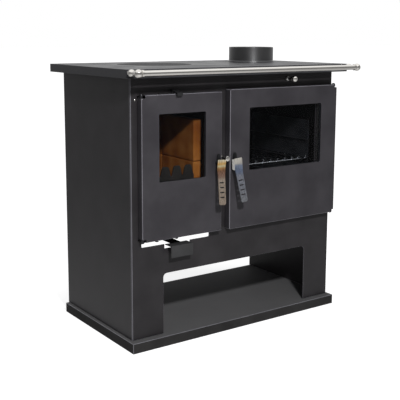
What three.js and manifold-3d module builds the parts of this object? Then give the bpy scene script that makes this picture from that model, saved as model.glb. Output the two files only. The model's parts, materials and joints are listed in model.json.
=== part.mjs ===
// A free-standing wood cookstove: a plate-steel casing on a plinth, a firebox on the left, an oven on the
// right, an open wood bay below, and a cooktop with a flue collar and a towel rail.
// Millimetres. X runs to the right, Y to the back, Z up. Sizes are set in a casing frame whose Y is 0 at
// half the casing's depth; the last lines move the whole stove so that its origin is under its middle.
import * as THREE from "three";
import { mergeVertices } from "three/addons/utils/BufferGeometryUtils.js";
import Module from "manifold-3d";

const wasm = await Module();
wasm.setup();

// ------------------------------------------------------------------ driving dimensions

const SEAT = 0.3; // gap between two pieces that lie on each other
const RUN = 0.5; // running gap round a shaft, pin or slide
const PAST = 1; // how far a cutter runs past the faces that it cuts, and a joined piece into its neighbour

const FINE = 36; // sides of a large round
const MIDDLE = 18; // of a ball, boss or tube
const COARSE = 12; // of a pin, shaft or small hole
const WIRE_SIDES = 6;
const EDGE = 1; // chamfer on the rim of a small turned piece

const STOVE_H = 790; // floor to cooking surface
const BODY_W = 742;
const BODY_D = 405;
const SHEET = 3; // casing sheet
const FRONT_SHEET = 4;

const BASE_H = 30;
const BASE_SIDE = 10; // how far the plinth stands proud at each side
const BASE_FRONT = 21;
const BASE_FLANGE = 12; // return flange that rests on the floor

const TOP_T = 8;
const TOP_SIDE = 31; // cooktop overhangs
const TOP_FRONT = 38.5;
const TOP_BACK = 33.5;
const TOP_CORNER = 8;
const RIM_H = 24;
const RIM_T = 4;

const HOB_W = 460; // inset cast plate
const HOB_D = 280;
const HOB_FROM_LEFT = 112; // cooktop's left edge to the plate
const HOB_FROM_FRONT = 131;
const HOB_T = 8;
const HOB_CORNER = 6;
const HOB_LEDGE = 6;
const HOB_LEDGE_T = 3;
const RING_R = 112;
const LID_R = 66;
const RING_FROM_LEFT = 140; // plate's left edge to the ring's centre
const REBATE = 5;
const LIFT_SLOT = { w: 14, d: 8 };

const FLUE_OD = 150;
const FLUE_WALL = 3;
const FLUE_H = 48;
const FLUE_FROM_RIGHT = 94; // casing side to the flue's centre
const FLUE_FROM_BACK = 108.5;
const FLUE_FOOT = { out: 2, h: 4, taper: 4 };

const RAIL_R = 8;
const RAIL_REACH = 46; // cooktop's front edge to the rail's centre
const RAIL_BELOW = 9; // cooking surface to the rail's centre
const RAIL_INSET = 8; // cooktop's side edge to the bracket's centre
const RAIL_BALL_R = 12;
const BRACKET_BALL_R = 8;
const BRACKET_FOOT_R = 7;
const BRACKET_FOOT_T = 5;
const BRACKET_POST_R = 5;

const BAY_W = 536; // arch in the front panel
const BAY_TOP = 209;
const BAY_R = 12;
const BACK_OPEN_TOP = 300; // the wood bay's back is open up to here
const DECK_Z = 309; // underside of the firebox and oven floor

const DOOR_T = 22;
const DOOR_GAP = 2.5; // door's back edge to the front panel
const DOOR_SHEET = 2.5;
const DOOR_R = 3; // radius of a door's folded corners
const DOOR_SPACING = 29; // gap between the two doors
const FIRE_DOOR_INSET = 20.5; // casing corner to the fire door
const FIRE_DOOR_W = 268.5;
const FIRE_DOOR_BOTTOM = 314;
const FIRE_DOOR_BELOW = 70; // cooking surface to the door's top edge
const OVEN_DOOR_BOTTOM = 312.5;
const OVEN_DOOR_BELOW = 65;
const FIRE_WINDOW = { left: 55.5, right: 57, top: 53.5, h: 188.5 };
const OVEN_WINDOW = { left: 72, right: 65.5, top: 56, h: 186 };
const WINDOW_R = 3;
const GLASS_T = 4;
const GLASS_LAP = 10;
const RETAINER_LAP = 14.5;
const RETAINER_T = 2.5;
const LINER_T = 3;
const LINER_LAP = 17;
const LINER_IN = 1.5; // door's back edge to the liner
const LINER_R = 6; // corners of the liner's window
const ROPE_W = 10;
const ROPE_OFF = 4; // opening's edge to the rope

const FIRE_OPENING = { left: 22.5, right: 24, bottom: 24, top: 24 };
const OVEN_OPENING = { left: 25, right: 67, bottom: 35.5, top: 35 };
const OPENING_R = 8;

const PIN_R = 4;
const PIN_INSET = 6; // door's side to the hinge axis
const PIN_IN_DOOR = 12;
const NOTCH_W = 13;
const NOTCH_H = 9;
const LUG_T = 5;
const PIN_HEAD = { lip: 0.8, rise: 1.5 };
const PIN_SHORT = 2; // boss's far end to the pin's tip
const BOSS_R = 6;

const SHAFT_INSET = 15; // door's free edge to the handle shaft
const SHAFT_Z = 518;
const SHAFT_R = 5;
const BUSH_R = 10;
const BUSH_T = 2.2;
const CAM_R = 24;
const CAM_W = 8;
const CAM_T = 3;
const COLLAR_R = 8;
const SHAFT_SHORT = 12; // door's back edge to the shaft's inner end
const HANDLE_T = 2.5;
const HEAD_W = 28;
const HEAD_CUT = 2; // chamfer of the head's upper corners
const HEAD_UP = 9; // shaft to the head's top edge
const HEAD_DOWN = 21;
const FLANGE = { d: 12, below: 4, r: 3 };
const GRIP = { l: 100, w: 23, neck: 16, flare: 1, cut: 4 };
const GRIP_PITCH = THREE.MathUtils.degToRad(11.5);
const HANDLE_SPLAY = THREE.MathUtils.degToRad(5);
const HANDLE_OFF = 18; // door's face to the back of the handle's head
const GRIP_SLOT = { w: 16, h: 4, r: 1.5, pitch: 14, first: 34, count: 4 };

const STUD_Z = 526;
const STUD_HEAD_R = 7.5;
const STUD_NECK_R = 4.5;
const STUD_HEAD_T = 3.5;
const STUD_CLEAR = 1; // cam's face to the stud's head
const STUD_FOOT_R = 8;
const STUD_FOOT_T = 4;

const SHELL_LAP = 12.6; // fire opening's left edge to the shell's left wall
const BRICK_T = 30;
const BRICK_TOP = 640;
const BRICK_CHAMFER = 4;
const BRICK_JOINT = 2; // width and depth of the grooves between bricks
const FIREBOX_FROM_OVEN = 67; // oven door's edge to the shell's right wall
const FIREBOX_BACK_GAP = 31;
const FLUEWAY_BELOW = 90; // cooking surface to the wall that smoke passes over
const GRATE_SHELF_Z = 392;
const GRATE = { side: 9.5, d: 240, t: 10, bar: 11, slot: 10, margin: 12, r: 6 };
const GRATE_LAP = 10;
const GUARD_T = 6;
const GUARD_TOP = 512;
const GUARD_HUMP_H = 29;
const GUARD_PITCH = 38.5;
// Shares of half a hump's width: its flat top, and how far the curve holds at the top and in the valley.
const GUARD_CURVE = { flat: 0.3, shoulder: 0.8, valley: 0.72 };
const GUARD_FROM_FRONT = 16; // front panel's face to the guard
const PAN = { w: 180, d: 320, h: 66, sheet: 2, draft: 8, lip: 45, turn: 12 };

const AIR_SLOT = { w: 231, bottom: 294.5, top: 308, from: 31.5, r: 4 };
const AIR_NOTCH = { w: 88, bottom: 281.5, from: 107 };
const AIR_PLATE = { w: 74, d: 34, h: 34, t: 2, r: 1.5 };
const AIR_NECK = { w: 32, top: 292 };
const AIR_PULLED = 25; // front panel to the bent plate, as it stands
const AIR_BOX = { w: 84, d: 120, from: 53, h: 13.5, sheet: 2 };
const AIR_VALVE = { w: 70, d: 95, setback: 2 };
const AIR_HOLE = { w: 48, d: 24, from: 24, r: 4 };
const AIR_GUIDE = { t: 2, lap: 5 };

const TAB = { w: 19, drop: 13, reach: 11, rise: 11, bend: 1, t: 2, from: 117 };
const AIR_STRIP = { w: 110, d: 14, t: 1.5, r: 2, pitch: 30, count: 3 };
const STRIP_SLOT = { w: 16, d: 5, behind: 2, r: 2.4 };
const AIR_PORT = { w: 8, d: 4 }; // in the door's top return, under each slot of the strip

const OVEN_DEPTH = 340;
const OVEN_SHEET = 3;
const STOOL_W = 120;
const STOOL_D = 30;
const RUNNER = { out: 10, t: 2, first: 77, pitch: 62, count: 3, foot: 12, h: 200, margin: 25 };
const RACK = { wire: 3, rod: 1.8, pitch: 29, tip: 9, margin: 6, gap: 2, setback: 18 };

const DAMPER_X_FROM_FLUE = 94;
const DAMPER_BELOW = 42; // cooking surface to the damper's rod
const DAMPER_ROD_R = 4;
const KNOB_R = 10;
const KNOB_OUT = 33; // front panel to the ball's centre
const NUT_R = 7;
const NUT_T = 5;
const DAMPER_HOLE = { w: 70, h: 40, r: 6 };
const DAMPER_PLATE = { w: 84, h: 52, t: 3, r: 5 };
const ROD_GUIDE = { w: 30, d: 25, from: 95, above: 14 };
const PARTITION_FRONT = 85; // flue's centre to the partition
const PARTITION_LEFT = 147;

// ------------------------------------------------------------------ derived places

const SIDE_X = BODY_W / 2;
const FRONT_Y = -BODY_D / 2;
const BACK_Y = BODY_D / 2;
const INNER_X = SIDE_X - SHEET - SEAT;
const INNER_FRONT = FRONT_Y + FRONT_SHEET + SEAT;
const INNER_BACK = BACK_Y - SHEET - SEAT;
const SHELL_BOTTOM = BASE_H + SEAT;
const TOP_UNDER = STOVE_H - TOP_T;
const SHELL_TOP = TOP_UNDER - SEAT;
const DECK_TOP = DECK_Z + SHEET + SEAT;

const FACE_Y = FRONT_Y - DOOR_GAP - DOOR_T; // face of both doors
const DOOR_BACK = FRONT_Y - DOOR_GAP;
const HINGE_Y = FACE_Y + DOOR_T / 2;

// A door: its outline, its window, the opening behind it, and which side its hinge is on.
function doorPlan(x0, x1, z0, z1, window, opening, hingeSide) {
  return {
    x0,
    x1,
    z0,
    z1,
    hingeSide,
    window: {
      x0: x0 + window.left,
      x1: x1 - window.right,
      z0: z1 - window.top - window.h,
      z1: z1 - window.top,
    },
    opening: {
      x0: x0 + opening.left,
      x1: x1 - opening.right,
      z0: z0 + opening.bottom,
      z1: z1 - opening.top,
    },
    hingeX: hingeSide < 0 ? x0 + PIN_INSET : x1 - PIN_INSET,
    shaftX: hingeSide < 0 ? x1 - SHAFT_INSET : x0 + SHAFT_INSET,
  };
}

const fireX0 = -SIDE_X + FIRE_DOOR_INSET;
const ovenX0 = fireX0 + FIRE_DOOR_W + DOOR_SPACING;
const fireDoor = doorPlan(
  fireX0,
  fireX0 + FIRE_DOOR_W,
  FIRE_DOOR_BOTTOM,
  STOVE_H - FIRE_DOOR_BELOW,
  FIRE_WINDOW,
  FIRE_OPENING,
  -1,
);
const ovenDoor = doorPlan(
  ovenX0,
  SIDE_X,
  OVEN_DOOR_BOTTOM,
  STOVE_H - OVEN_DOOR_BELOW,
  OVEN_WINDOW,
  OVEN_OPENING,
  1,
);
const STUD_X = (fireDoor.shaftX + ovenDoor.shaftX) / 2;

// Firebox: its right wall keeps its distance from the oven door, its left wall from the fire opening.
const SHELL_X1 = ovenDoor.x0 - FIREBOX_FROM_OVEN + SHEET;
const BRICK_RIGHT_X = SHELL_X1 - SHEET - SEAT; // outer face of the right bricks
const FIRE_X1 = BRICK_RIGHT_X - BRICK_T;
const SHELL_X0 = fireDoor.opening.x0 - SHELL_LAP;
const FIRE_X0 = SHELL_X0 + SHEET + SEAT + BRICK_T;
const FIRE_MID = (FIRE_X0 + FIRE_X1) / 2;
const SHELL_BACK = INNER_BACK - FIREBOX_BACK_GAP;
const BRICK_BACK = SHELL_BACK - SHEET - SEAT;
const SHELF_TOP = GRATE_SHELF_Z + SHEET + SEAT;
const GUARD_Y = FRONT_Y + GUARD_FROM_FRONT;
const BRICK_FRONT = GUARD_Y + GUARD_T + SEAT;

const FLUEWAY_Z = STOVE_H - FLUEWAY_BELOW;
const FLUE_X = SIDE_X - FLUE_FROM_RIGHT;
const FLUE_Y = BACK_Y - FLUE_FROM_BACK;
const DAMPER_X = FLUE_X - DAMPER_X_FROM_FLUE;
const DAMPER_Z = STOVE_H - DAMPER_BELOW;
const PARTITION_Y = FLUE_Y - PARTITION_FRONT;

const TOP_X = SIDE_X + TOP_SIDE;
const TOP_Y0 = FRONT_Y - TOP_FRONT;
const TOP_Y1 = BACK_Y + TOP_BACK;
const RAIL_X = TOP_X - RAIL_INSET;
const RAIL_Y = TOP_Y0 - RAIL_REACH;
const RAIL_Z = STOVE_H - RAIL_BELOW;

// ------------------------------------------------------------------ shapes and solids

// A rectangle with round corners, in whatever plane it is extruded from.
function roundedRect(a0, b0, a1, b1, radius) {
  const shape = new THREE.Shape();
  const r = Math.min(radius, (a1 - a0) / 2 - 0.01, (b1 - b0) / 2 - 0.01);
  if (r <= 0) {
    shape.moveTo(a0, b0).lineTo(a1, b0).lineTo(a1, b1).lineTo(a0, b1).closePath();
    return shape;
  }
  shape.moveTo(a0 + r, b0);
  shape.lineTo(a1 - r, b0).absarc(a1 - r, b0 + r, r, -Math.PI / 2, 0, false);
  shape.lineTo(a1, b1 - r).absarc(a1 - r, b1 - r, r, 0, Math.PI / 2, false);
  shape.lineTo(a0 + r, b1).absarc(a0 + r, b1 - r, r, Math.PI / 2, Math.PI, false);
  shape.lineTo(a0, b0 + r).absarc(a0 + r, b0 + r, r, Math.PI, Math.PI * 1.5, false);
  return shape;
}

function polygon(points) {
  return new THREE.Shape(points.map(([a, b]) => new THREE.Vector2(a, b)));
}

// A closed geometry as a manifold solid.
function solid(geometry) {
  const bare = geometry.index ? geometry.toNonIndexed() : geometry.clone();
  bare.deleteAttribute("normal");
  bare.deleteAttribute("uv");
  const merged = mergeVertices(bare, 1e-4);
  return new wasm.Manifold(
    new wasm.Mesh({
      numProp: 3,
      vertProperties: merged.attributes.position.array,
      triVerts: new Uint32Array(merged.index.array),
    }),
  );
}

const AXIS_X = new THREE.Vector3(1, 0, 0);
const AXIS_Y = new THREE.Vector3(0, 1, 0);
const AXIS_Z = new THREE.Vector3(0, 0, 1);
// Each basis carries a shape's own x, y and depth to the stove's axes.
const ALONG_X = new THREE.Matrix4().makeBasis(AXIS_Y, AXIS_Z, AXIS_X);
const ALONG_Y = new THREE.Matrix4().makeBasis(AXIS_X, AXIS_Z, AXIS_Y.clone().negate());

function extrude(shape, depth, steps) {
  return new THREE.ExtrudeGeometry(shape, { depth, bevelEnabled: false, curveSegments: steps });
}

// Shape in Y and Z, from x0 to x1.
function extrudeX(shape, x0, x1, steps = 4) {
  const geometry = extrude(shape, x1 - x0, steps).applyMatrix4(ALONG_X);
  return solid(geometry.translate(x0, 0, 0));
}

// Shape in X and Z, from y0 to y1.
function extrudeY(shape, y0, y1, steps = 4) {
  const geometry = extrude(shape, y1 - y0, steps).applyMatrix4(ALONG_Y);
  return solid(geometry.translate(0, y1, 0));
}

// Shape in X and Y, from z0 to z1.
function extrudeZ(shape, z0, z1, steps = 4) {
  return solid(extrude(shape, z1 - z0, steps).translate(0, 0, z0));
}

function box(x0, x1, y0, y1, z0, z1) {
  const geometry = new THREE.BoxGeometry(x1 - x0, y1 - y0, z1 - z0);
  return solid(geometry.translate((x0 + x1) / 2, (y0 + y1) / 2, (z0 + z1) / 2));
}

// A turned piece: pairs of radius and height, from the axis back to the axis or closed on themselves.
function turned(profile, sides) {
  const points = profile.map(([r, z]) => new THREE.Vector2(r, z));
  return new THREE.LatheGeometry(points, sides).rotateX(Math.PI / 2);
}

const turnedZ = (profile, x, y, z, sides) => solid(turned(profile, sides).translate(x, y, z));

// The profile's height runs to the front, along -Y.
const turnedY = (profile, x, y, z, sides) =>
  solid(turned(profile, sides).rotateX(Math.PI / 2).translate(x, y, z));

const rod = (r, length) => [[0, 0], [r, 0], [r, length], [0, length]];

// Half a circle's arc as profile points, for balls and domes.
function arc(r, centre, from, to, steps) {
  const points = [];
  for (let i = 0; i <= steps; i += 1) {
    const a = from + ((to - from) * i) / steps;
    points.push([Math.abs(r * Math.cos(a)) < 1e-9 ? 0 : r * Math.cos(a), centre + r * Math.sin(a)]);
  }
  return points;
}

const ball = (r, centre, steps = 7) => arc(r, centre, -Math.PI / 2, Math.PI / 2, steps);

const union = (...pieces) => wasm.Manifold.union(pieces);

// A round cutter along Y, through a plate from y0 to y1.
const boreY = (r, x, z, y0, y1) => turnedY(rod(r, y1 - y0 + 2 * PAST), x, y1 + PAST, z, COARSE);

// A cutter through a plate that stands across Y.
const throughY = (shape, y0, y1, steps = 4) => extrudeY(shape, y0 - PAST, y1 + PAST, steps);

const between = (a, b) => [Math.min(a, b), Math.max(a, b)];

function circle(a, b, r) {
  const shape = new THREE.Shape();
  shape.absarc(a, b, r, 0, 2 * Math.PI, false);
  return shape;
}

// ------------------------------------------------------------------ finishes

const finish = (color, roughness, metalness) =>
  new THREE.MeshStandardMaterial({ color, roughness, metalness });

const casingPaint = finish("#3a393a", 0.6, 0.2);
const doorPaint = finish("#444247", 0.55, 0.2);
const castIron = finish("#2c2c2e", 0.7, 0.4);
const topSteel = finish("#3c3c3e", 0.45, 0.4);
const chrome = finish("#d6d4d0", 0.15, 1);
const nickel = finish("#c9c2b6", 0.25, 1);
const firebrick = finish("#b98a5a", 0.95, 0);
const rope = finish("#2a2a2b", 0.95, 0);
const bareSteel = finish("#55565a", 0.5, 0.8);
const ceramicGlass = new THREE.MeshStandardMaterial({
  color: "#6f7276",
  roughness: 0.05,
  metalness: 0,
  transparent: true,
  opacity: 0.35,
});

// ------------------------------------------------------------------ the scene graph

const stove = new THREE.Group();
stove.name = "wood_cookstove";

function addGroup(name) {
  const group = new THREE.Group();
  group.name = name;
  stove.add(group);
  return group;
}

function add(group, name, material, piece) {
  const made = piece.getMesh();
  const geometry = new THREE.BufferGeometry();
  geometry.setAttribute("position", new THREE.BufferAttribute(made.vertProperties, 3));
  geometry.setIndex(new THREE.BufferAttribute(made.triVerts, 1));
  geometry.computeVertexNormals();
  const mesh = new THREE.Mesh(geometry, material);
  mesh.name = name;
  group.add(mesh);
}

// ------------------------------------------------------------------ casing

const casing = addGroup("casing");

// Plinth: a folded tray, open below, with a return flange round its foot.
function plinth() {
  const x = SIDE_X + BASE_SIDE;
  const y0 = FRONT_Y - BASE_FRONT;
  const hollow = box(-x + SHEET, x - SHEET, y0 + SHEET, BACK_Y - SHEET, SHEET, BASE_H - SHEET);
  const mouth = box(
    -x + BASE_FLANGE,
    x - BASE_FLANGE,
    y0 + BASE_FLANGE,
    BACK_Y - BASE_FLANGE,
    -PAST,
    SHEET + PAST,
  );
  return box(-x, x, y0, BACK_Y, 0, BASE_H).subtract(hollow).subtract(mouth);
}
add(casing, "base_plinth", casingPaint, plinth());

function sidePanel(side) {
  const [x0, x1] = between(side * SIDE_X, side * (SIDE_X - SHEET));
  return box(x0, x1, INNER_FRONT, BACK_Y, SHELL_BOTTOM, SHELL_TOP);
}
add(casing, "left_side_panel", casingPaint, sidePanel(-1));
add(casing, "right_side_panel", casingPaint, sidePanel(1));

// Front panel: bay arch below, the two door openings, the air slot with its notch, and the damper hole.
function frontPanel() {
  const half = BAY_W / 2;
  const outline = new THREE.Shape();
  outline.moveTo(-SIDE_X, SHELL_BOTTOM).lineTo(-half, SHELL_BOTTOM).lineTo(-half, BAY_TOP - BAY_R);
  outline.absarc(-half + BAY_R, BAY_TOP - BAY_R, BAY_R, Math.PI, Math.PI / 2, true);
  outline.lineTo(half - BAY_R, BAY_TOP);
  outline.absarc(half - BAY_R, BAY_TOP - BAY_R, BAY_R, Math.PI / 2, 0, true);
  outline.lineTo(half, SHELL_BOTTOM).lineTo(SIDE_X, SHELL_BOTTOM);
  outline.lineTo(SIDE_X, SHELL_TOP).lineTo(-SIDE_X, SHELL_TOP).closePath();
  const through = (shape) => throughY(shape, FRONT_Y, FRONT_Y + FRONT_SHEET);
  const slotX = -SIDE_X + AIR_SLOT.from;
  const notchX = -SIDE_X + AIR_NOTCH.from;
  let panel = extrudeY(outline, FRONT_Y, FRONT_Y + FRONT_SHEET);
  for (const { opening: o } of [fireDoor, ovenDoor])
    panel = panel.subtract(through(roundedRect(o.x0, o.z0, o.x1, o.z1, OPENING_R)));
  const slot = roundedRect(slotX, AIR_SLOT.bottom, slotX + AIR_SLOT.w, AIR_SLOT.top, AIR_SLOT.r);
  const notchTop = AIR_SLOT.bottom + AIR_SLOT.r;
  const notch = roundedRect(notchX, AIR_NOTCH.bottom, notchX + AIR_NOTCH.w, notchTop, 0);
  const hole = boreY(DAMPER_ROD_R + RUN, DAMPER_X, DAMPER_Z, FRONT_Y, FRONT_Y + FRONT_SHEET);
  return panel.subtract(through(slot)).subtract(through(notch)).subtract(hole);
}
add(casing, "front_panel", casingPaint, frontPanel());

add(
  casing,
  "back_panel",
  casingPaint,
  box(-INNER_X, INNER_X, BACK_Y - SHEET, BACK_Y, BACK_OPEN_TOP, SHELL_TOP),
);

// Primary air goes up through one hole in the slide, the air box and the deck.
const AIR_X = -SIDE_X + AIR_NOTCH.from + AIR_NOTCH.w / 2;
const AIR_BOX_Y0 = FRONT_Y + AIR_BOX.from;
function airHole(z0, z1) {
  const { w, d, from, r } = AIR_HOLE;
  const y0 = AIR_BOX_Y0 + from;
  return extrudeZ(roundedRect(AIR_X - w / 2, y0, AIR_X + w / 2, y0 + d, r), z0 - PAST, z1 + PAST);
}

// Deck: the floor under firebox and oven.
function deck() {
  const plate = box(-INNER_X, INNER_X, INNER_FRONT, INNER_BACK, DECK_Z, DECK_Z + SHEET);
  return plate.subtract(airHole(DECK_Z, DECK_Z + SHEET));
}
add(casing, "deck_plate", bareSteel, deck());

// ------------------------------------------------------------------ cooktop

const cooktop = addGroup("cooktop");

const HOB_X0 = -TOP_X + HOB_FROM_LEFT;
const HOB_Y0 = TOP_Y0 + HOB_FROM_FRONT;
const RING_X = HOB_X0 + RING_FROM_LEFT;
const RING_Y = HOB_Y0 + HOB_D / 2;

// The hob plate's outline, drawn in by an inset.
function hobOutline(inset) {
  const [x0, y0] = [HOB_X0 + inset, HOB_Y0 + inset];
  return roundedRect(x0, y0, HOB_X0 + HOB_W - inset, HOB_Y0 + HOB_D - inset, HOB_CORNER);
}

// Frame: a plate with a folded rim, recessed for the hob plate and bored for the flue.
function cooktopFrame() {
  const rect = (inset, radius) =>
    roundedRect(-TOP_X + inset, TOP_Y0 + inset, TOP_X - inset, TOP_Y1 - inset, radius);
  const outer = extrudeZ(rect(0, TOP_CORNER), STOVE_H - RIM_H, STOVE_H);
  const hollow = extrudeZ(rect(RIM_T, TOP_CORNER - RIM_T), STOVE_H - RIM_H - PAST, TOP_UNDER);
  const recess = extrudeZ(hobOutline(0), STOVE_H - HOB_T + HOB_LEDGE_T, STOVE_H + PAST);
  const opening = extrudeZ(hobOutline(HOB_LEDGE), TOP_UNDER - PAST, STOVE_H + PAST);
  const bore = rod(FLUE_OD / 2 - FLUE_WALL, TOP_T + 2 * PAST);
  const flue = turnedZ(bore, FLUE_X, FLUE_Y, TOP_UNDER - PAST, FINE);
  return outer.subtract(hollow).subtract(recess).subtract(opening).subtract(flue);
}
add(cooktop, "cooktop_frame", topSteel, cooktopFrame());

// Inset cast plate, flush with the frame; the ring and the lid each sit in a rebate.
const REBATE_T = (HOB_T - HOB_LEDGE_T) / 2;
function hobPlate() {
  const z0 = STOVE_H - HOB_T + HOB_LEDGE_T + SEAT;
  const plate = extrudeZ(hobOutline(SEAT), z0, STOVE_H);
  const rebate = turnedZ(rod(RING_R + SEAT, TOP_T), RING_X, RING_Y, STOVE_H - REBATE_T, FINE);
  const bore = turnedZ(rod(RING_R - REBATE, 2 * TOP_T), RING_X, RING_Y, z0 - PAST, FINE);
  return plate.subtract(rebate).subtract(bore);
}
add(cooktop, "hob_plate", castIron, hobPlate());

// The lifter's slot in the ring and in the lid.
function liftSlot(x, y) {
  const { w, d } = LIFT_SLOT;
  const slot = roundedRect(x - w / 2, y - d / 2, x + w / 2, y + d / 2, d / 2);
  return extrudeZ(slot, TOP_UNDER - PAST, STOVE_H + PAST);
}

function hobRing() {
  const profile = [
    [RING_R, STOVE_H - REBATE_T + SEAT],
    [RING_R, STOVE_H],
    [LID_R + SEAT, STOVE_H],
    [LID_R + SEAT, STOVE_H - REBATE_T],
    [LID_R - REBATE, STOVE_H - REBATE_T],
    [LID_R - REBATE, STOVE_H - 2 * REBATE_T],
    [RING_R - REBATE - SEAT, STOVE_H - 2 * REBATE_T],
    [RING_R - REBATE - SEAT, STOVE_H - REBATE_T + SEAT],
  ];
  profile.push(profile[0]);
  const ring = turnedZ(profile, RING_X, RING_Y, 0, FINE);
  return ring.subtract(liftSlot(RING_X, RING_Y - (RING_R + LID_R) / 2));
}
add(cooktop, "hob_ring", castIron, hobRing());

function hobLid() {
  const profile = [
    [0, STOVE_H - 2 * REBATE_T],
    [LID_R - REBATE - SEAT, STOVE_H - 2 * REBATE_T],
    [LID_R - REBATE - SEAT, STOVE_H - REBATE_T + SEAT],
    [LID_R, STOVE_H - REBATE_T + SEAT],
    [LID_R, STOVE_H],
    [0, STOVE_H],
  ];
  const lid = turnedZ(profile, RING_X, RING_Y, 0, FINE);
  return lid.subtract(liftSlot(RING_X, RING_Y - LID_R / 2));
}
add(cooktop, "hob_lid", castIron, hobLid());

// Flue collar: a short pipe with a slightly flared foot.
function flueCollar() {
  const r = FLUE_OD / 2;
  const { out, h, taper } = FLUE_FOOT;
  const profile = [
    [r - FLUE_WALL, SEAT],
    [r + out, SEAT],
    [r + out, h],
    [r, h + taper],
    [r, FLUE_H],
    [r - FLUE_WALL, FLUE_H],
    [r - FLUE_WALL, SEAT],
  ];
  return turnedZ(profile, FLUE_X, FLUE_Y, STOVE_H, FINE);
}
add(cooktop, "flue_collar", casingPaint, flueCollar());

// Towel rail: a tube between two balls, each ball on a post from a bracket at the cooktop's corner.
const towelRail = addGroup("towel_rail");
const BALL_HALF = Math.sqrt(RAIL_BALL_R ** 2 - RAIL_R ** 2);

function railTube() {
  const x1 = RAIL_X - BALL_HALF + PAST;
  const geometry = turned(rod(RAIL_R, 2 * x1), MIDDLE).rotateY(Math.PI / 2);
  geometry.translate(-x1, RAIL_Y, RAIL_Z);
  const balls = [-1, 1].map((side) => railBall(side * RAIL_X, RAIL_BALL_R + SEAT));
  return balls.reduce((tube, cutter) => tube.subtract(cutter), solid(geometry));
}

function railBall(x, r) {
  return turnedY(ball(r, 0), x, RAIL_Y, RAIL_Z, MIDDLE);
}

// The bracket's ball sits against the cooktop's rim, and its post carries the rail's ball.
function railBracket(side) {
  const x = side * RAIL_X;
  const start = TOP_Y0 - SEAT;
  const reach = RAIL_REACH;
  const length = reach - Math.sqrt(RAIL_BALL_R ** 2 - BRACKET_POST_R ** 2) + PAST;
  const body = union(
    turnedY(rod(BRACKET_FOOT_R, BRACKET_FOOT_T), x, start, RAIL_Z, MIDDLE),
    turnedY(ball(BRACKET_BALL_R, BRACKET_BALL_R), x, start, RAIL_Z, MIDDLE),
    turnedY(rod(BRACKET_POST_R, length), x, start, RAIL_Z, COARSE),
  );
  const rim = box(x - reach, x + reach, start, start + reach, RAIL_Z - reach, RAIL_Z + reach);
  return body.subtract(rim).subtract(railBall(x, RAIL_BALL_R + SEAT));
}
add(towelRail, "towel_rail", chrome, railTube());
for (const [side, name] of [
  [-1, "left"],
  [1, "right"],
]) {
  add(towelRail, "rail_end_" + name, chrome, railBall(side * RAIL_X, RAIL_BALL_R));
  add(towelRail, "rail_bracket_" + name, chrome, railBracket(side));
}

// ------------------------------------------------------------------ firebox

const firebox = addGroup("firebox");

// Shell: three walls round the fire; smoke passes over the right-hand one to the oven side.
function fireboxShell() {
  const outer = box(SHELL_X0, SHELL_X1, INNER_FRONT, SHELL_BACK, DECK_TOP, SHELL_TOP);
  const inner = box(
    SHELL_X0 + SHEET,
    SHELL_X1 - SHEET,
    INNER_FRONT - PAST,
    SHELL_BACK - SHEET,
    DECK_TOP - PAST,
    SHELL_TOP + PAST,
  );
  const flueway = box(
    SHELL_X1 - SHEET - PAST,
    SHELL_X1 + PAST,
    INNER_FRONT - PAST,
    SHELL_BACK - SHEET,
    FLUEWAY_Z,
    SHELL_TOP + PAST,
  );
  return outer.subtract(inner).subtract(flueway);
}
add(firebox, "firebox_shell", bareSteel, fireboxShell());

// Shelf that carries the bricks, the guard and, round its hole, the grate.
const GRATE_MID = (BRICK_FRONT + BRICK_BACK - BRICK_T) / 2;
const GRATE_W = FIRE_X1 - FIRE_X0 - 2 * GRATE.side;
function grateShelf() {
  const plate = box(
    SHELL_X0 + SHEET + SEAT,
    BRICK_RIGHT_X,
    INNER_FRONT,
    BRICK_BACK,
    GRATE_SHELF_Z,
    GRATE_SHELF_Z + SHEET,
  );
  const w = GRATE_W / 2 - GRATE_LAP;
  const d = GRATE.d / 2 - GRATE_LAP;
  const hole = roundedRect(FIRE_MID - w, GRATE_MID - d, FIRE_MID + w, GRATE_MID + d, 0);
  return plate.subtract(extrudeZ(hole, GRATE_SHELF_Z - PAST, SHELF_TOP + PAST));
}
add(firebox, "grate_shelf", bareSteel, grateShelf());

// Cast grate: two rows of slots with round ends, between its bars.
function grate() {
  const x0 = FIRE_MID - GRATE_W / 2;
  const y0 = GRATE_MID - GRATE.d / 2;
  const plate = roundedRect(x0, y0, x0 + GRATE_W, y0 + GRATE.d, GRATE.r);
  const step = GRATE.bar + GRATE.slot;
  const count = Math.floor((GRATE.d - 2 * GRATE.margin + GRATE.bar) / step);
  const slack = (GRATE.d - count * step + GRATE.bar) / 2;
  for (let i = 0; i < count; i += 1) {
    const y = y0 + slack + i * step;
    const half = (GRATE_W - 3 * GRATE.margin) / 2;
    for (const x of [x0 + GRATE.margin, x0 + 2 * GRATE.margin + half])
      plate.holes.push(roundedRect(x, y, x + half, y + GRATE.slot, GRATE.slot / 2));
  }
  return extrudeZ(plate, SHELF_TOP, SHELF_TOP + GRATE.t, 1);
}
add(firebox, "grate", castIron, grate());

// Joints: a level groove round the inner faces of all three boards, and an upright one in both side boards.
function brickJoints() {
  const half = BRICK_JOINT / 2;
  const [x0, x1] = [FIRE_X0 - BRICK_JOINT, FIRE_X1 + BRICK_JOINT];
  const y0 = BRICK_FRONT - PAST;
  const y1 = BRICK_BACK - BRICK_T;
  const z = (SHELF_TOP + BRICK_TOP) / 2;
  const y = (BRICK_FRONT + y1) / 2;
  const level = box(x0, x1, y0, y1 + BRICK_JOINT, z - half, z + half);
  const upright = box(x0, x1, y - half, y + half, SHELF_TOP - PAST, BRICK_TOP + PAST);
  return union(level, upright);
}

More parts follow.
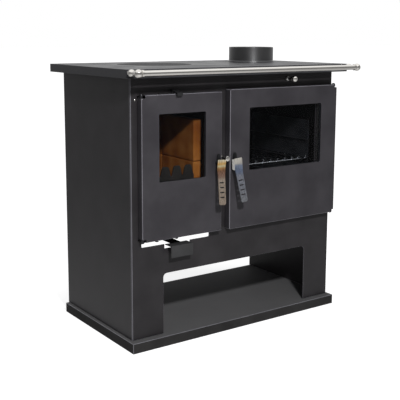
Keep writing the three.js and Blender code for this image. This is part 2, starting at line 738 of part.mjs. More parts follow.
// Firebrick boards at both sides and at the back, with chamfered upright edges.
function brick(x0, x1, y0, y1) {
  const c = BRICK_CHAMFER;
  const outline = polygon([
    [x0 + c, y0],
    [x1 - c, y0],
    [x1, y0 + c],
    [x1, y1 - c],
    [x1 - c, y1],
    [x0 + c, y1],
    [x0, y1 - c],
    [x0, y0 + c],
  ]);
  return extrudeZ(outline, SHELF_TOP, BRICK_TOP).subtract(brickJoints());
}
for (const [name, x0, x1, y0] of [
  ["firebrick_left", FIRE_X0 - BRICK_T, FIRE_X0, BRICK_FRONT],
  ["firebrick_right", FIRE_X1, BRICK_RIGHT_X, BRICK_FRONT],
  ["firebrick_back", FIRE_X0 + SEAT, FIRE_X1 - SEAT, BRICK_BACK - BRICK_T],
])
  add(firebox, name, firebrick, brick(x0, x1, y0, BRICK_BACK));

// Log guard: a cast plate whose top edge is a row of round-shouldered humps with narrow valleys between.
function logGuard() {
  const humps = Math.floor((FIRE_X1 - FIRE_X0) / GUARD_PITCH);
  const w = humps * GUARD_PITCH;
  const x0 = FIRE_MID - w / 2;
  const valley = GUARD_TOP - GUARD_HUMP_H;
  const foot = GUARD_PITCH / 2;
  const flat = foot * GUARD_CURVE.flat;
  const high = foot * GUARD_CURVE.shoulder;
  const low = foot * GUARD_CURVE.valley;
  const shape = new THREE.Shape();
  shape.moveTo(x0, SHELF_TOP).lineTo(x0 + w, SHELF_TOP).lineTo(x0 + w, valley);
  for (let i = humps - 1; i >= 0; i -= 1) {
    const mid = x0 + (i + 0.5) * GUARD_PITCH;
    shape.bezierCurveTo(mid + low, valley, mid + high, GUARD_TOP, mid + flat, GUARD_TOP);
    shape.lineTo(mid - flat, GUARD_TOP);
    shape.bezierCurveTo(mid - high, GUARD_TOP, mid - low, valley, mid - foot, valley);
  }
  shape.closePath();
  return extrudeY(shape, GUARD_Y, GUARD_Y + GUARD_T, 8);
}
add(firebox, "log_guard", castIron, logGuard());

// Ash pan: a drawn tray with sloping sides and a lip that turns down at its front.
function ashPan() {
  const { w, d, h, sheet, draft, lip, turn } = PAN;
  const x0 = FIRE_MID - w / 2;
  const y0 = INNER_FRONT + draft + SHEET;
  const z0 = DECK_TOP;
  const section = (inset, low, high) =>
    polygon([
      [x0 + draft + inset, low],
      [x0 + w - draft - inset, low],
      [x0 + w - inset, high],
      [x0 + inset, high],
    ]);
  const outer = extrudeY(section(0, z0, z0 + h), y0, y0 + d);
  const inner = extrudeY(section(sheet, z0 + sheet, z0 + h + PAST), y0 + sheet, y0 + d - sheet);
  const lipX = [FIRE_MID - lip, FIRE_MID + lip];
  const shelf = box(...lipX, y0 - draft, y0 + PAST, z0 + h - sheet, z0 + h);
  const front = box(...lipX, y0 - draft, y0 - draft + sheet, z0 + h - turn, z0 + h);
  return union(outer.subtract(inner), shelf, front);
}
add(firebox, "ash_pan", bareSteel, ashPan());

// ------------------------------------------------------------------ primary air

const primaryAir = addGroup("primary_air");

// Air box: a shallow channel under the deck. Two folded guides under it carry the slide, which covers the
// hole in its floor.
const AIR_BOX_Z0 = DECK_Z - SEAT - AIR_BOX.h;
const SLIDE_TOP = AIR_NECK.top;
const SLIDE_BOTTOM = AIR_NECK.top - AIR_PLATE.t;
function airBox() {
  const half = AIR_BOX.w / 2;
  const y1 = AIR_BOX_Y0 + AIR_BOX.d;
  const outer = box(AIR_X - half, AIR_X + half, AIR_BOX_Y0, y1, AIR_BOX_Z0, DECK_Z - SEAT);
  const inner = box(
    AIR_X - half + AIR_BOX.sheet,
    AIR_X + half - AIR_BOX.sheet,
    AIR_BOX_Y0 + AIR_BOX.sheet,
    y1 - AIR_BOX.sheet,
    AIR_BOX_Z0 + AIR_BOX.sheet,
    DECK_Z,
  );
  const hole = airHole(AIR_BOX_Z0, AIR_BOX_Z0 + AIR_BOX.sheet);
  return union(outer, slideGuide(-1), slideGuide(1)).subtract(inner).subtract(hole);
}

function slideGuide(side) {
  const { t, lap } = AIR_GUIDE;
  const half = AIR_VALVE.w / 2;
  const across = (a, b) => between(AIR_X + side * a, AIR_X + side * b);
  const y1 = AIR_BOX_Y0 + AIR_BOX.d;
  const z0 = SLIDE_BOTTOM - RUN - t;
  const upright = box(...across(half + RUN, half + RUN + t), AIR_BOX_Y0, y1, z0, AIR_BOX_Z0 + PAST);
  const ledge = box(...across(half - lap, half + RUN + t), AIR_BOX_Y0, y1, z0, z0 + t);
  return union(upright, ledge);
}
add(casing, "air_box", bareSteel, airBox());

// Slide: a valve plate with an air hole, a narrow neck, and a wide front plate bent down for the hand.
function primarySlide() {
  const { w, d, h, t, r } = AIR_PLATE;
  const across = (width) => [AIR_X - width / 2, AIR_X + width / 2];
  const y0 = FRONT_Y - AIR_PULLED;
  const valveY = AIR_BOX_Y0 + AIR_VALVE.setback;
  const bent = roundedRect(AIR_X - w / 2, SLIDE_TOP - h, AIR_X + w / 2, SLIDE_TOP, r);
  const shelf = box(...across(w), y0, y0 + d, SLIDE_BOTTOM, SLIDE_TOP);
  const neck = box(...across(AIR_NECK.w), y0 + d - PAST, valveY + PAST, SLIDE_BOTTOM, SLIDE_TOP);
  const valve = box(...across(AIR_VALVE.w), valveY, valveY + AIR_VALVE.d, SLIDE_BOTTOM, SLIDE_TOP);
  const hole = airHole(SLIDE_BOTTOM, SLIDE_TOP);
  return union(extrudeY(bent, y0, y0 + t), shelf, neck, valve).subtract(hole);
}
add(primaryAir, "primary_air_slide", casingPaint, primarySlide());

// ------------------------------------------------------------------ oven

const oven = addGroup("oven");
const cavity = ovenDoor.opening;
const OVEN_BACK = INNER_FRONT + OVEN_DEPTH;
const OVEN_TOP = cavity.z1 + OVEN_SHEET;

function ovenBox() {
  const s = OVEN_SHEET;
  const outer = box(cavity.x0 - s, cavity.x1 + s, INNER_FRONT, OVEN_BACK, cavity.z0 - s, OVEN_TOP);
  const inner = box(cavity.x0, cavity.x1, INNER_FRONT - PAST, OVEN_BACK - s, cavity.z0, cavity.z1);
  return union(outer, ovenStool()).subtract(inner);
}

// A folded stool, welded under the box, carries its back end above the deck.
function ovenStool() {
  const mid = (cavity.x0 + cavity.x1) / 2;
  const under = cavity.z0 - OVEN_SHEET;
  const half = STOOL_W / 2;
  const legs = polygon([
    [mid - half, DECK_TOP],
    [mid - half + SHEET, DECK_TOP],
    [mid - half + SHEET, under - SHEET],
    [mid + half - SHEET, under - SHEET],
    [mid + half - SHEET, DECK_TOP],
    [mid + half, DECK_TOP],
    [mid + half, under + PAST],
    [mid - half, under + PAST],
  ]);
  return extrudeY(legs, OVEN_BACK - 3 * STOOL_D, OVEN_BACK - 2 * STOOL_D);
}
add(oven, "oven_box", castIron, ovenBox());

// Runners: a plate on each side wall with three folded ledges.
const RUNNER_Y0 = INNER_FRONT + RUNNER.margin;
const RUNNER_Y1 = OVEN_BACK - OVEN_SHEET - RUNNER.margin;
function ovenRunner(side) {
  const { out, t, first, pitch, count, foot, h } = RUNNER;
  const wall = side < 0 ? cavity.x0 + SEAT : cavity.x1 - SEAT;
  const across = (depth) => between(wall, wall - side * depth);
  const z0 = cavity.z0 + first - t - foot;
  const pieces = [box(...across(t), RUNNER_Y0, RUNNER_Y1, z0, z0 + h)];
  for (let i = 0; i < count; i += 1) {
    const z = cavity.z0 + first + i * pitch;
    pieces.push(box(...across(out), RUNNER_Y0, RUNNER_Y1, z - t, z));
  }
  return union(...pieces);
}
add(oven, "oven_runner_left", bareSteel, ovenRunner(-1));
add(oven, "oven_runner_right", bareSteel, ovenRunner(1));

// Rack on the middle ledge: a wire frame with cross wires whose front ends turn up.
function ovenRack() {
  const x0 = cavity.x0 + RACK.margin;
  const x1 = cavity.x1 - RACK.margin;
  const y0 = INNER_FRONT + RACK.setback;
  const y1 = OVEN_BACK - OVEN_SHEET - RACK.setback;
  const z = cavity.z0 + RUNNER.first + RUNNER.pitch + SEAT + RACK.wire;
  const alongX = (r, y, height) =>
    solid(turned(rod(r, x1 - x0), WIRE_SIDES).rotateY(Math.PI / 2).translate(x0, y, height));
  const alongY = (r, x, from, to, height) => turnedY(rod(r, to - from), x, to, height, WIRE_SIDES);
  const wires = [
    alongX(RACK.wire, y0, z),
    alongX(RACK.wire, y1, z),
    alongY(RACK.wire, x0, y0, y1, z),
    alongY(RACK.wire, x1, y0, y1, z),
  ];
  for (const [x, y] of [
    [x0, y0],
    [x1, y0],
    [x0, y1],
    [x1, y1],
  ])
    wires.push(turnedZ(ball(RACK.wire, 0, 3), x, y, z, WIRE_SIDES));
  const count = Math.floor((x1 - x0 - RACK.pitch) / RACK.pitch) + 1;
  const first = (x0 + x1 - (count - 1) * RACK.pitch) / 2;
  const top = z + RACK.wire;
  for (let i = 0; i < count; i += 1) {
    const x = first + i * RACK.pitch;
    wires.push(alongY(RACK.rod, x, y0 - RACK.wire, y1, top));
    wires.push(turnedZ(rod(RACK.rod, RACK.tip), x, y0 - RACK.wire, top - RACK.rod / 2, WIRE_SIDES));
  }
  return union(...wires);
}
add(oven, "oven_rack", chrome, ovenRack());

// ------------------------------------------------------------------ flue way and damper

const flueway = addGroup("flueway");

// Partition: folded sheet on the oven's top, round the flue's foot, with the damper's opening in front.
function fluePartition() {
  const x0 = FLUE_X - PARTITION_LEFT;
  const z0 = OVEN_TOP + SEAT;
  const front = box(x0, INNER_X, PARTITION_Y, PARTITION_Y + SHEET, z0, SHELL_TOP);
  const left = box(x0, x0 + SHEET, PARTITION_Y, INNER_BACK, z0, SHELL_TOP);
  const halfW = DAMPER_HOLE.w / 2;
  const halfH = DAMPER_HOLE.h / 2;
  const corner = DAMPER_HOLE.r;
  const hole = roundedRect(DAMPER_X - halfW, DAMPER_Z - halfH, DAMPER_X + halfW, DAMPER_Z + halfH, corner);
  return union(front, left).subtract(throughY(hole, PARTITION_Y, PARTITION_Y + SHEET));
}
add(flueway, "flue_partition", bareSteel, fluePartition());

// Rod guide: an upright on the oven's top with a hole for the rod.
function rodGuide() {
  const x = [DAMPER_X - ROD_GUIDE.w / 2, DAMPER_X + ROD_GUIDE.w / 2];
  const y0 = INNER_FRONT + ROD_GUIDE.from;
  const z0 = OVEN_TOP + SEAT;
  const foot = box(...x, y0, y0 + ROD_GUIDE.d, z0, z0 + SHEET);
  const upright = box(...x, y0, y0 + SHEET, z0, DAMPER_Z + ROD_GUIDE.above);
  return union(foot, upright).subtract(boreY(DAMPER_ROD_R + RUN, DAMPER_X, DAMPER_Z, y0, y0 + SHEET));
}
add(flueway, "damper_guide", bareSteel, rodGuide());

// Nut round the rod on the front panel.
function damperNut() {
  const profile = [
    [DAMPER_ROD_R + RUN, 0],
    [NUT_R, 0],
    [NUT_R, NUT_T - EDGE],
    [NUT_R - EDGE, NUT_T],
    [DAMPER_ROD_R + RUN, NUT_T],
    [DAMPER_ROD_R + RUN, 0],
  ];
  return turnedY(profile, DAMPER_X, FRONT_Y - SEAT, DAMPER_Z, COARSE);
}
add(casing, "damper_nut", chrome, damperNut());

const damper = addGroup("damper");
const DAMPER_PLATE_Y = PARTITION_Y - SEAT - DAMPER_PLATE.t;
function damperPlate() {
  const { w, h, t, r } = DAMPER_PLATE;
  const shape = roundedRect(DAMPER_X - w / 2, DAMPER_Z - h / 2, DAMPER_X + w / 2, DAMPER_Z + h / 2, r);
  return extrudeY(shape, DAMPER_PLATE_Y, DAMPER_PLATE_Y + t);
}
add(damper, "damper_plate", bareSteel, damperPlate());

const KNOB_Y = FRONT_Y - KNOB_OUT;
function damperRod() {
  const start = DAMPER_PLATE_Y - SEAT;
  const end = KNOB_Y + KNOB_R - PAST;
  const shaft = turnedY(rod(DAMPER_ROD_R, start - end), DAMPER_X, start, DAMPER_Z, COARSE);
  return shaft.subtract(knobBall(KNOB_R + SEAT));
}

function knobBall(r) {
  return turnedY(ball(r, 0), DAMPER_X, KNOB_Y, DAMPER_Z, MIDDLE);
}
add(damper, "damper_rod", bareSteel, damperRod());
add(damper, "damper_knob", chrome, knobBall(KNOB_R));

// ------------------------------------------------------------------ doors

// A place inside the hinge-side corners, as a box: w wide and h high, mirrored to the hinge's side.
function hingeCorner(door, w, h, y0, y1, top) {
  const x = door.hingeSide < 0 ? [door.x0 - PAST, door.x0 + w] : [door.x1 - w, door.x1 + PAST];
  const z = top ? [door.z1 - h, door.z1 + PAST] : [door.z0 - PAST, door.z0 + h];
  return box(...x, y0, y1, ...z);
}

// Tray: the folded front of a door, cut away at the hinge corners, with a bored boss under each cut.
function doorTray(door) {
  const { window: w } = door;
  const s = DOOR_SHEET;
  const outline = roundedRect(door.x0, door.z0, door.x1, door.z1, DOOR_R);
  const hollow = roundedRect(door.x0 + s, door.z0 + s, door.x1 - s, door.z1 - s, 0);
  let tray = extrudeY(outline, FACE_Y, DOOR_BACK, 3);
  tray = tray.subtract(extrudeY(hollow, FACE_Y + s, DOOR_BACK + PAST));
  tray = tray.subtract(throughY(roundedRect(w.x0, w.z0, w.x1, w.z1, WINDOW_R), FACE_Y, FACE_Y + s, 2));
  for (const top of [false, true]) {
    const inner = top ? door.z1 - NOTCH_H : door.z0 + NOTCH_H;
    const z0 = top ? inner - PIN_IN_DOOR : inner;
    const z1 = z0 + PIN_IN_DOOR;
    const boss = turnedZ(rod(BOSS_R, PIN_IN_DOOR), door.hingeX, HINGE_Y, z0, COARSE);
    const webX = [door.hingeX - PIN_INSET / 2, door.hingeX + PIN_INSET / 2];
    const web = box(...webX, FACE_Y + s / 2, HINGE_Y, z0, z1);
    const pinHole = rod(PIN_R + RUN, PIN_IN_DOOR + 2 * PAST);
    const bore = turnedZ(pinHole, door.hingeX, HINGE_Y, z0 - PAST, COARSE);
    tray = union(tray, boss, web).subtract(bore);
    tray = tray.subtract(hingeCorner(door, NOTCH_W, NOTCH_H, FACE_Y - PAST, DOOR_BACK + PAST, top));
  }
  tray = tray.subtract(boreY(SHAFT_R + RUN, door.shaftX, SHAFT_Z, FACE_Y, FACE_Y + s));
  return door === fireDoor ? tray.subtract(airPorts()) : tray;
}

// Middles of the secondary air strip's slots, along the fire door's top edge.
function slotMiddles() {
  const { count, pitch } = AIR_STRIP;
  const first = fireDoor.x0 + TAB.from - ((count - 1) / 2) * pitch;
  return Array.from({ length: count }, (_, i) => first + i * pitch);
}

// Ports in the fire door's top return, which the strip opens and shuts.
function airPorts() {
  const { w, d } = AIR_PORT;
  const y = HINGE_Y + STRIP_SLOT.behind - STRIP_SLOT.d / 2;
  const [z0, z1] = [fireDoor.z1 - DOOR_SHEET - PAST, fireDoor.z1 + PAST];
  return union(...slotMiddles().map((x) => box(x - w / 2, x + w / 2, y - d / 2, y + d / 2, z0, z1)));
}

function doorGlass(door) {
  const { window: w } = door;
  const lap = GLASS_LAP;
  const shape = roundedRect(w.x0 - lap, w.z0 - lap, w.x1 + lap, w.z1 + lap, WINDOW_R);
  const y0 = FACE_Y + DOOR_SHEET + SEAT;
  return extrudeY(shape, y0, y0 + GLASS_T, 2);
}

// Retainer: an angle frame behind the glass, its outer leg against the tray.
function glassRetainer(door) {
  const { window: w } = door;
  const grow = (lap) => roundedRect(w.x0 - lap, w.z0 - lap, w.x1 + lap, w.z1 + lap, WINDOW_R);
  const y0 = FACE_Y + DOOR_SHEET + SEAT;
  const y1 = y0 + GLASS_T + SEAT;
  const y2 = y1 + RETAINER_T;
  const frame = extrudeY(grow(RETAINER_LAP), y0, y2, 2);
  const hollow = extrudeY(grow(GLASS_LAP + SEAT), y0 - PAST, y1, 2);
  return frame.subtract(hollow).subtract(throughY(grow(0), y0, y2, 2));
}

// Liner: the plate that closes the tray's back and carries the rope seal.
const LINER_Y1 = DOOR_BACK - LINER_IN;
function doorLiner(door) {
  const { window: w } = door;
  const edge = DOOR_SHEET + SEAT;
  const y0 = LINER_Y1 - LINER_T;
  const lap = LINER_LAP;
  const plate = roundedRect(door.x0 + edge, door.z0 + edge, door.x1 - edge, door.z1 - edge, DOOR_R);
  plate.holes.push(roundedRect(w.x0 - lap, w.z0 - lap, w.x1 + lap, w.z1 + lap, LINER_R));
  const corner = (top) =>
    hingeCorner(door, NOTCH_W + SEAT, NOTCH_H + SEAT, y0 - PAST, LINER_Y1 + PAST, top);
  return extrudeY(plate, y0, LINER_Y1, 2).subtract(corner(false)).subtract(corner(true));
}

// Rope seal: a woven cord pressed flat between the liner and the front panel, round the opening.
function ropeSeal(door) {
  const { opening: o } = door;
  const ring = (off, r) => roundedRect(o.x0 - off, o.z0 - off, o.x1 + off, o.z1 + off, r);
  const shape = ring(ROPE_OFF + ROPE_W, OPENING_R + ROPE_OFF + ROPE_W);
  shape.holes.push(ring(ROPE_OFF, OPENING_R + ROPE_OFF));
  return extrudeY(shape, LINER_Y1 + SEAT, FRONT_Y - SEAT, 4);
}

// Bush: a flanged chrome bearing for the handle's shaft on the door's face.
function handleBush(door) {
  const r = SHAFT_R + RUN;
  const profile = [
    [r, 0],
    [BUSH_R, 0],
    [BUSH_R, BUSH_T - EDGE],
    [BUSH_R - EDGE, BUSH_T],
    [r, BUSH_T],
    [r, 0],
  ];
  return turnedY(profile, door.shaftX, FACE_Y - SEAT, SHAFT_Z, MIDDLE);
}

// ------------------------------------------------------------------ handles

// Both handles are one pattern, mirrored. In the pattern's own frame the shaft is the Y axis through
// the origin, and +X is the side of the gap between the doors.
const HEAD_BACK = FACE_Y - HANDLE_OFF;
const CAM_Y0 = FACE_Y - SEAT - BUSH_T - SEAT - CAM_T;

function handlePlate() {
  const half = HEAD_W / 2;
  const y0 = HEAD_BACK - HANDLE_T;
  const headShape = polygon([
    [-half, HEAD_UP - HEAD_CUT],
    [-half + HEAD_CUT, HEAD_UP],
    [half - HEAD_CUT, HEAD_UP],
    [half, HEAD_UP - HEAD_CUT],
    [half, -HEAD_DOWN],
    [-half, -HEAD_DOWN],
  ]);
  headShape.holes.push(circle(0, 0, SHAFT_R + SEAT));
  const head = extrudeY(headShape, y0, HEAD_BACK, 8);
  const { d, below, r } = FLANGE;
  const flangeShape = roundedRect(y0, -HEAD_DOWN - below, y0 + d, HEAD_UP - HEAD_CUT, r);
  const flange = extrudeX(flangeShape, half - HANDLE_T, half, 3);
  const grip = extrude(gripShape(), HANDLE_T, 1).applyMatrix4(ALONG_Y);
  grip.rotateX(-GRIP_PITCH).translate(0, HEAD_BACK, -HEAD_DOWN);
  return union(head, flange, solid(grip));
}

// Grip: the head's width drawn in to a slim bar with cut corners and a row of slots.
function gripShape() {
  const { l, neck, flare, cut } = GRIP;
  const [wide, half] = [HEAD_W / 2, GRIP.w / 2];
  const right = [
    [wide, PAST],
    [wide, 0],
    [half + flare, -neck],
    [half, -l + cut],
    [half - cut, -l],
  ];
  const left = right.map(([a, b]) => [-a, b]).reverse();
  const shape = polygon([...right, ...left]);
  for (let i = 0; i < GRIP_SLOT.count; i += 1) {
    const z = -GRIP_SLOT.first - i * GRIP_SLOT.pitch;
    const slotHalf = GRIP_SLOT.w / 2;
    shape.holes.push(roundedRect(-slotHalf, z - GRIP_SLOT.h, slotHalf, z, GRIP_SLOT.r));
  }
  return shape;
}

// Shaft: a journal through the bush, the cam welded on it, and a thick collar up to the handle's head.
function handleShaft() {
  const tail = FACE_Y + DOOR_T - SHAFT_SHORT;
  const at = (y) => tail - y;
  const profile = [
    [0, 0],
    [SHAFT_R, 0],
    [SHAFT_R, at(CAM_Y0)],
    [COLLAR_R, at(CAM_Y0)],
    [COLLAR_R, at(HEAD_BACK + SEAT)],
    [SHAFT_R, at(HEAD_BACK + SEAT)],
    [SHAFT_R, at(HEAD_BACK - HANDLE_T)],
    [0, at(HEAD_BACK - HANDLE_T)],
  ];
  return union(turnedY(profile, 0, tail, 0, COARSE), handleCam());
}

// Cam: the finger that catches behind the stud's head when the handle is turned up.
function handleCam() {
  const tip = CAM_W / 2;
  const shape = new THREE.Shape();
  shape.absarc(0, 0, COLLAR_R, Math.PI, 2 * Math.PI, false);
  shape.lineTo(tip, CAM_R - tip);
  shape.absarc(0, CAM_R - tip, tip, 0, Math.PI, false);
  shape.closePath();
  return extrudeY(shape, CAM_Y0, CAM_Y0 + CAM_T, 6);
}

// Puts a pattern piece on its door: mirrored for the oven side, splayed, and moved to the shaft.
function placeHandle(piece, door, splay) {
  const toGap = door.hingeSide < 0 ? 1 : -1;
  const matrix = new THREE.Matrix4()
    .makeTranslation(door.shaftX, 0, SHAFT_Z)
    .multiply(new THREE.Matrix4().makeRotationY(splay * toGap))
    .multiply(new THREE.Matrix4().makeScale(toGap, 1, 1));
  return piece.transform(matrix.elements);
}

for (const [door, name] of [
  [fireDoor, "fire"],
  [ovenDoor, "oven"],
]) {
  const group = addGroup(name + "_door");
  add(group, name + "_door_tray", doorPaint, doorTray(door));
  add(group, name + "_door_glass", ceramicGlass, doorGlass(door));
  add(group, name + "_glass_retainer", bareSteel, glassRetainer(door));
  add(group, name + "_door_liner", casingPaint, doorLiner(door));
  add(group, name + "_rope_seal", rope, ropeSeal(door));
  add(group, name + "_handle_bush", chrome, handleBush(door));
  const handle = addGroup(name + "_handle");
  add(handle, name + "_handle_plate", nickel, placeHandle(handlePlate(), door, HANDLE_SPLAY));
  add(handle, name + "_handle_shaft", chrome, placeHandle(handleShaft(), door, 0));
}

// Hinge: a lug on the front panel that reaches into the door's cut corner, with a domed pin through it.
function hinge(door, top) {
  const z = top ? door.z1 - NOTCH_H / 2 : door.z0 + NOTCH_H / 2;
  const r = PIN_INSET;
  const y1 = FRONT_Y - SEAT;
  const shape = new THREE.Shape();
  shape.moveTo(door.hingeX + r, y1).lineTo(door.hingeX - r, y1).lineTo(door.hingeX - r, HINGE_Y);
  shape.absarc(door.hingeX, HINGE_Y, r, Math.PI, 2 * Math.PI, false);
  shape.closePath();
  const lug = extrudeZ(shape, z - LUG_T / 2, z + LUG_T / 2, 8);
  const reach = NOTCH_H / 2 + PIN_IN_DOOR - PIN_SHORT;
  const headR = PIN_R + PIN_HEAD.lip;
  const dome = arc(headR, LUG_T / 2 + PIN_HEAD.rise, 0, Math.PI / 2, 3);
  const pin = turned([[0, -reach], [PIN_R, -reach], [PIN_R, 0], [headR, LUG_T / 2], ...dome], COARSE);
  if (!top) pin.rotateX(Math.PI);
  return union(lug, solid(pin.translate(door.hingeX, HINGE_Y, z)));
}
for (const [door, name] of [
  [fireDoor, "fire"],
  [ovenDoor, "oven"],
]) {
  add(casing, name + "_hinge_upper", chrome, hinge(door, true));
  add(casing, name + "_hinge_lower", chrome, hinge(door, false));
}

// Keeper stud between the doors: both handles' cams catch behind its head.
function keeperStud() {
  const y0 = FRONT_Y - SEAT;
  const out = y0 - CAM_Y0 + STUD_CLEAR + STUD_HEAD_T;
  const profile = [
    [0, 0],
    [STUD_FOOT_R, 0],
    [STUD_FOOT_R, STUD_FOOT_T],
    [STUD_NECK_R, STUD_FOOT_T],
    [STUD_NECK_R, out - STUD_HEAD_T],
    [STUD_HEAD_R, out - STUD_HEAD_T],
    [STUD_HEAD_R, out - EDGE],
    [STUD_HEAD_R - EDGE, out],
    [0, out],
  ];
  return turnedY(profile, STUD_X, y0, STUD_Z, MIDDLE);
}
add(casing, "keeper_stud", chrome, keeperStud());

// ------------------------------------------------------------------ secondary air

// A slotted strip slides along the fire door's top edge; its tab bends over the edge to the front.
const secondaryAir = addGroup("secondary_air");
function secondarySlide() {
  const x = fireDoor.x0 + TAB.from;
  const z = fireDoor.z1 + SEAT;
  const y1 = HINGE_Y + AIR_STRIP.d / 2;
  const strip = roundedRect(x - AIR_STRIP.w / 2, y1 - AIR_STRIP.d, x + AIR_STRIP.w / 2, y1, AIR_STRIP.r);
  const slotY1 = HINGE_Y + STRIP_SLOT.behind;
  for (const mid of slotMiddles()) {
    const [x0, x1] = [mid - STRIP_SLOT.w / 2, mid + STRIP_SLOT.w / 2];
    strip.holes.push(roundedRect(x0, slotY1 - STRIP_SLOT.d, x1, slotY1, STRIP_SLOT.r));
  }
  const { w, t, rise, drop, reach, bend } = TAB;
  const front = FACE_Y - reach;
  const neck = polygon([
    [y1, z],
    [y1, z + rise],
    [front, z + t + bend],
    [front, z - drop],
    [front + t, z - drop],
    [front + t, z + bend],
    [y1 - t, z + rise - t],
    [y1 - t, z],
  ]);
  return union(extrudeZ(strip, z, z + AIR_STRIP.t, 2), extrudeX(neck, x - w / 2, x + w / 2));
}
add(secondaryAir, "secondary_air_slide", casingPaint, secondarySlide());

// The stove stands on its origin: half way between its front-most and back-most points.
stove.position.y = -(RAIL_Y - RAIL_BALL_R + TOP_Y1) / 2;

export default stove;
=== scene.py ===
import json
import math

import bmesh
import bpy
from mathutils import Matrix, Vector, noise


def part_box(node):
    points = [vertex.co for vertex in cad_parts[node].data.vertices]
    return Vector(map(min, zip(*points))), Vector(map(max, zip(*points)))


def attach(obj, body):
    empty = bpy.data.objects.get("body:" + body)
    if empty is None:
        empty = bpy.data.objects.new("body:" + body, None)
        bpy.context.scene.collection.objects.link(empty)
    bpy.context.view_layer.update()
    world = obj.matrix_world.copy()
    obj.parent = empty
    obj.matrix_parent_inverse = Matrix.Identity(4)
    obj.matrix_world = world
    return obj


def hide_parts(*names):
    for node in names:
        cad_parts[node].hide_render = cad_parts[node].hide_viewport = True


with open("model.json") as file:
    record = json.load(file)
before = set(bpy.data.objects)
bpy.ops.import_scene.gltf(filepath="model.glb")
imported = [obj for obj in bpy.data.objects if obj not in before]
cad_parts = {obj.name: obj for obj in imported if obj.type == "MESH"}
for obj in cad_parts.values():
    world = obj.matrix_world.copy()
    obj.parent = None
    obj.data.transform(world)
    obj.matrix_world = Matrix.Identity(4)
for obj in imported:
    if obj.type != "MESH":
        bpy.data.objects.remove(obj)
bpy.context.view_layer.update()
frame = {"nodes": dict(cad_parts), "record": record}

# ---------------------------------------------------------------- base plinth
# The stove stands on a shallow tray folded from 3 mm steel sheet, with its corners welded and ground.
# It is sprayed with matt high-temperature paint; its level top is painted paler as light from above, and its
# folds are painted lighter as highlights.

body_of = {n: body for body, nodes in frame["record"]["behaviour"]["bodies"].items() for n in nodes}


def hex_colour(text):
    """An sRGB hex value as the linear colour that a shader takes."""
    parts = [int(text[i : i + 2], 16) / 255 for i in (1, 3, 5)]
    return [c / 12.92 if c <= 0.04045 else ((c + 0.055) / 1.055) ** 2.4 for c in parts] + [1]


def feed(tree, node, inputs):
    """Sets a node's inputs; each is a value or another node's output."""
    for name, value in inputs.items():
        if isinstance(value, bpy.types.NodeSocket):
            tree.links.new(value, node.inputs[name])
        else:
            node.inputs[name].default_value = value


def add_node(tree, kind, inputs=None, stops=(), **settings):
    """Adds a node with its settings, its inputs and, on a ramp, its stops of place and hex colour."""
    node = tree.nodes.new("ShaderNode" + kind)
    for name, value in settings.items():
        setattr(node, name, value)
    feed(tree, node, inputs or {})
    for i, (place, colour) in enumerate(stops):
        stop = node.color_ramp.elements[i] if i < 2 else node.color_ramp.elements.new(place)
        stop.position, stop.color = place, hex_colour(colour)
    return node


def new_material(name):
    """A material with its node tree, its Principled shader and the object's own coordinates."""
    material = bpy.data.materials.new(name)
    material.use_nodes = True
    tree = material.node_tree
    return material, tree, tree.nodes["Principled BSDF"], add_node(tree, "TexCoord").outputs["Object"]


def add_noise(tree, place, size, detail):
    """Adds a noise pattern whose marks are about this size, in metres."""
    return add_node(tree, "TexNoise", {"Vector": place, "Scale": 1 / size, "Detail": detail})


def sprayed_paint(name, deep, pale, roughness, shine, metal=0.0, top_light=0.0):
    """High-temperature paint: soft clouds from the spray gun, a fine dry grain, and level faces painted paler
    as painted light from above.
    """
    cloud_size = 0.09  # one pass of the gun
    grain_size = 0.003  # the real grain is 0.3 mm, drawn coarser to show
    top_light_grey = "#868688"
    material, tree, shader, place = new_material(name)
    cloud = add_noise(tree, place, cloud_size, 4.0)
    grain = add_noise(tree, place, grain_size, 2.0)
    tone = add_node(tree, "ValToRGB", {"Fac": cloud.outputs["Fac"]}, [(0.35, deep), (0.68, pale)])
    # Faces that look up are mixed towards a pale grey: painted light from above.
    facing = add_node(tree, "SeparateXYZ", {"Vector": add_node(tree, "NewGeometry").outputs["Normal"]})
    level = add_node(tree, "MapRange", {"Value": facing.outputs["Z"], "From Min": 0.8, "To Max": top_light})
    film = add_node(tree, "MixRGB", {"Fac": level.outputs["Result"], "Color1": tone.outputs["Color"],
                                     "Color2": hex_colour(top_light_grey)})
    dull = {"Value": cloud.outputs["Fac"], "To Min": roughness - 0.06, "To Max": roughness + 0.06}
    bump = add_node(tree, "Bump", {"Height": grain.outputs["Fac"], "Strength": 0.35, "Distance": 0.0002})
    feed(tree, shader, {
        "Base Color": film.outputs["Color"],
        "Metallic": metal,
        "Roughness": add_node(tree, "MapRange", dull).outputs["Result"],
        "Normal": bump.outputs["Normal"],
        "Specular IOR Level": shine,
    })
    return material


def round_edges(bm, radius, segments=3, least=40):
    """Rounds every edge where two faces meet at more than the least angle, in degrees."""
    sharp = [e for e in bm.edges if e.is_manifold and e.calc_face_angle() > math.radians(least)]
    bmesh.ops.bevel(bm, geom=sharp, offset=radius, segments=segments, affect="EDGES", profile=0.5,
                    material=-1, clamp_overlap=True)
    return bm


def joined(node):
    """A CAD node's loose triangles, joined into whole faces."""
    bm = bmesh.new()
    bm.from_mesh(frame["nodes"][node].data)
    bmesh.ops.remove_doubles(bm, verts=bm.verts, dist=1e-5)
    bmesh.ops.dissolve_limit(bm, angle_limit=math.radians(1), verts=bm.verts, edges=bm.edges)
    return bm


def show(bm, name, material, *nodes):
    """Makes a bmesh the piece that stands for these CAD nodes, on the same body; the nodes are hidden."""
    mesh = bpy.data.meshes.new(name)
    bm.to_mesh(mesh)
    bm.free()
    mesh.materials.append(material)
    mesh.shade_smooth()
    mesh.set_sharp_from_angle(angle=math.radians(40))
    piece = bpy.data.objects.new(name, mesh)
    bpy.context.scene.collection.objects.link(piece)
    piece.modifiers.new("Even shading", "WEIGHTED_NORMAL").keep_sharp = True
    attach(piece, body_of[nodes[0]])
    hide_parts(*nodes)
    return piece


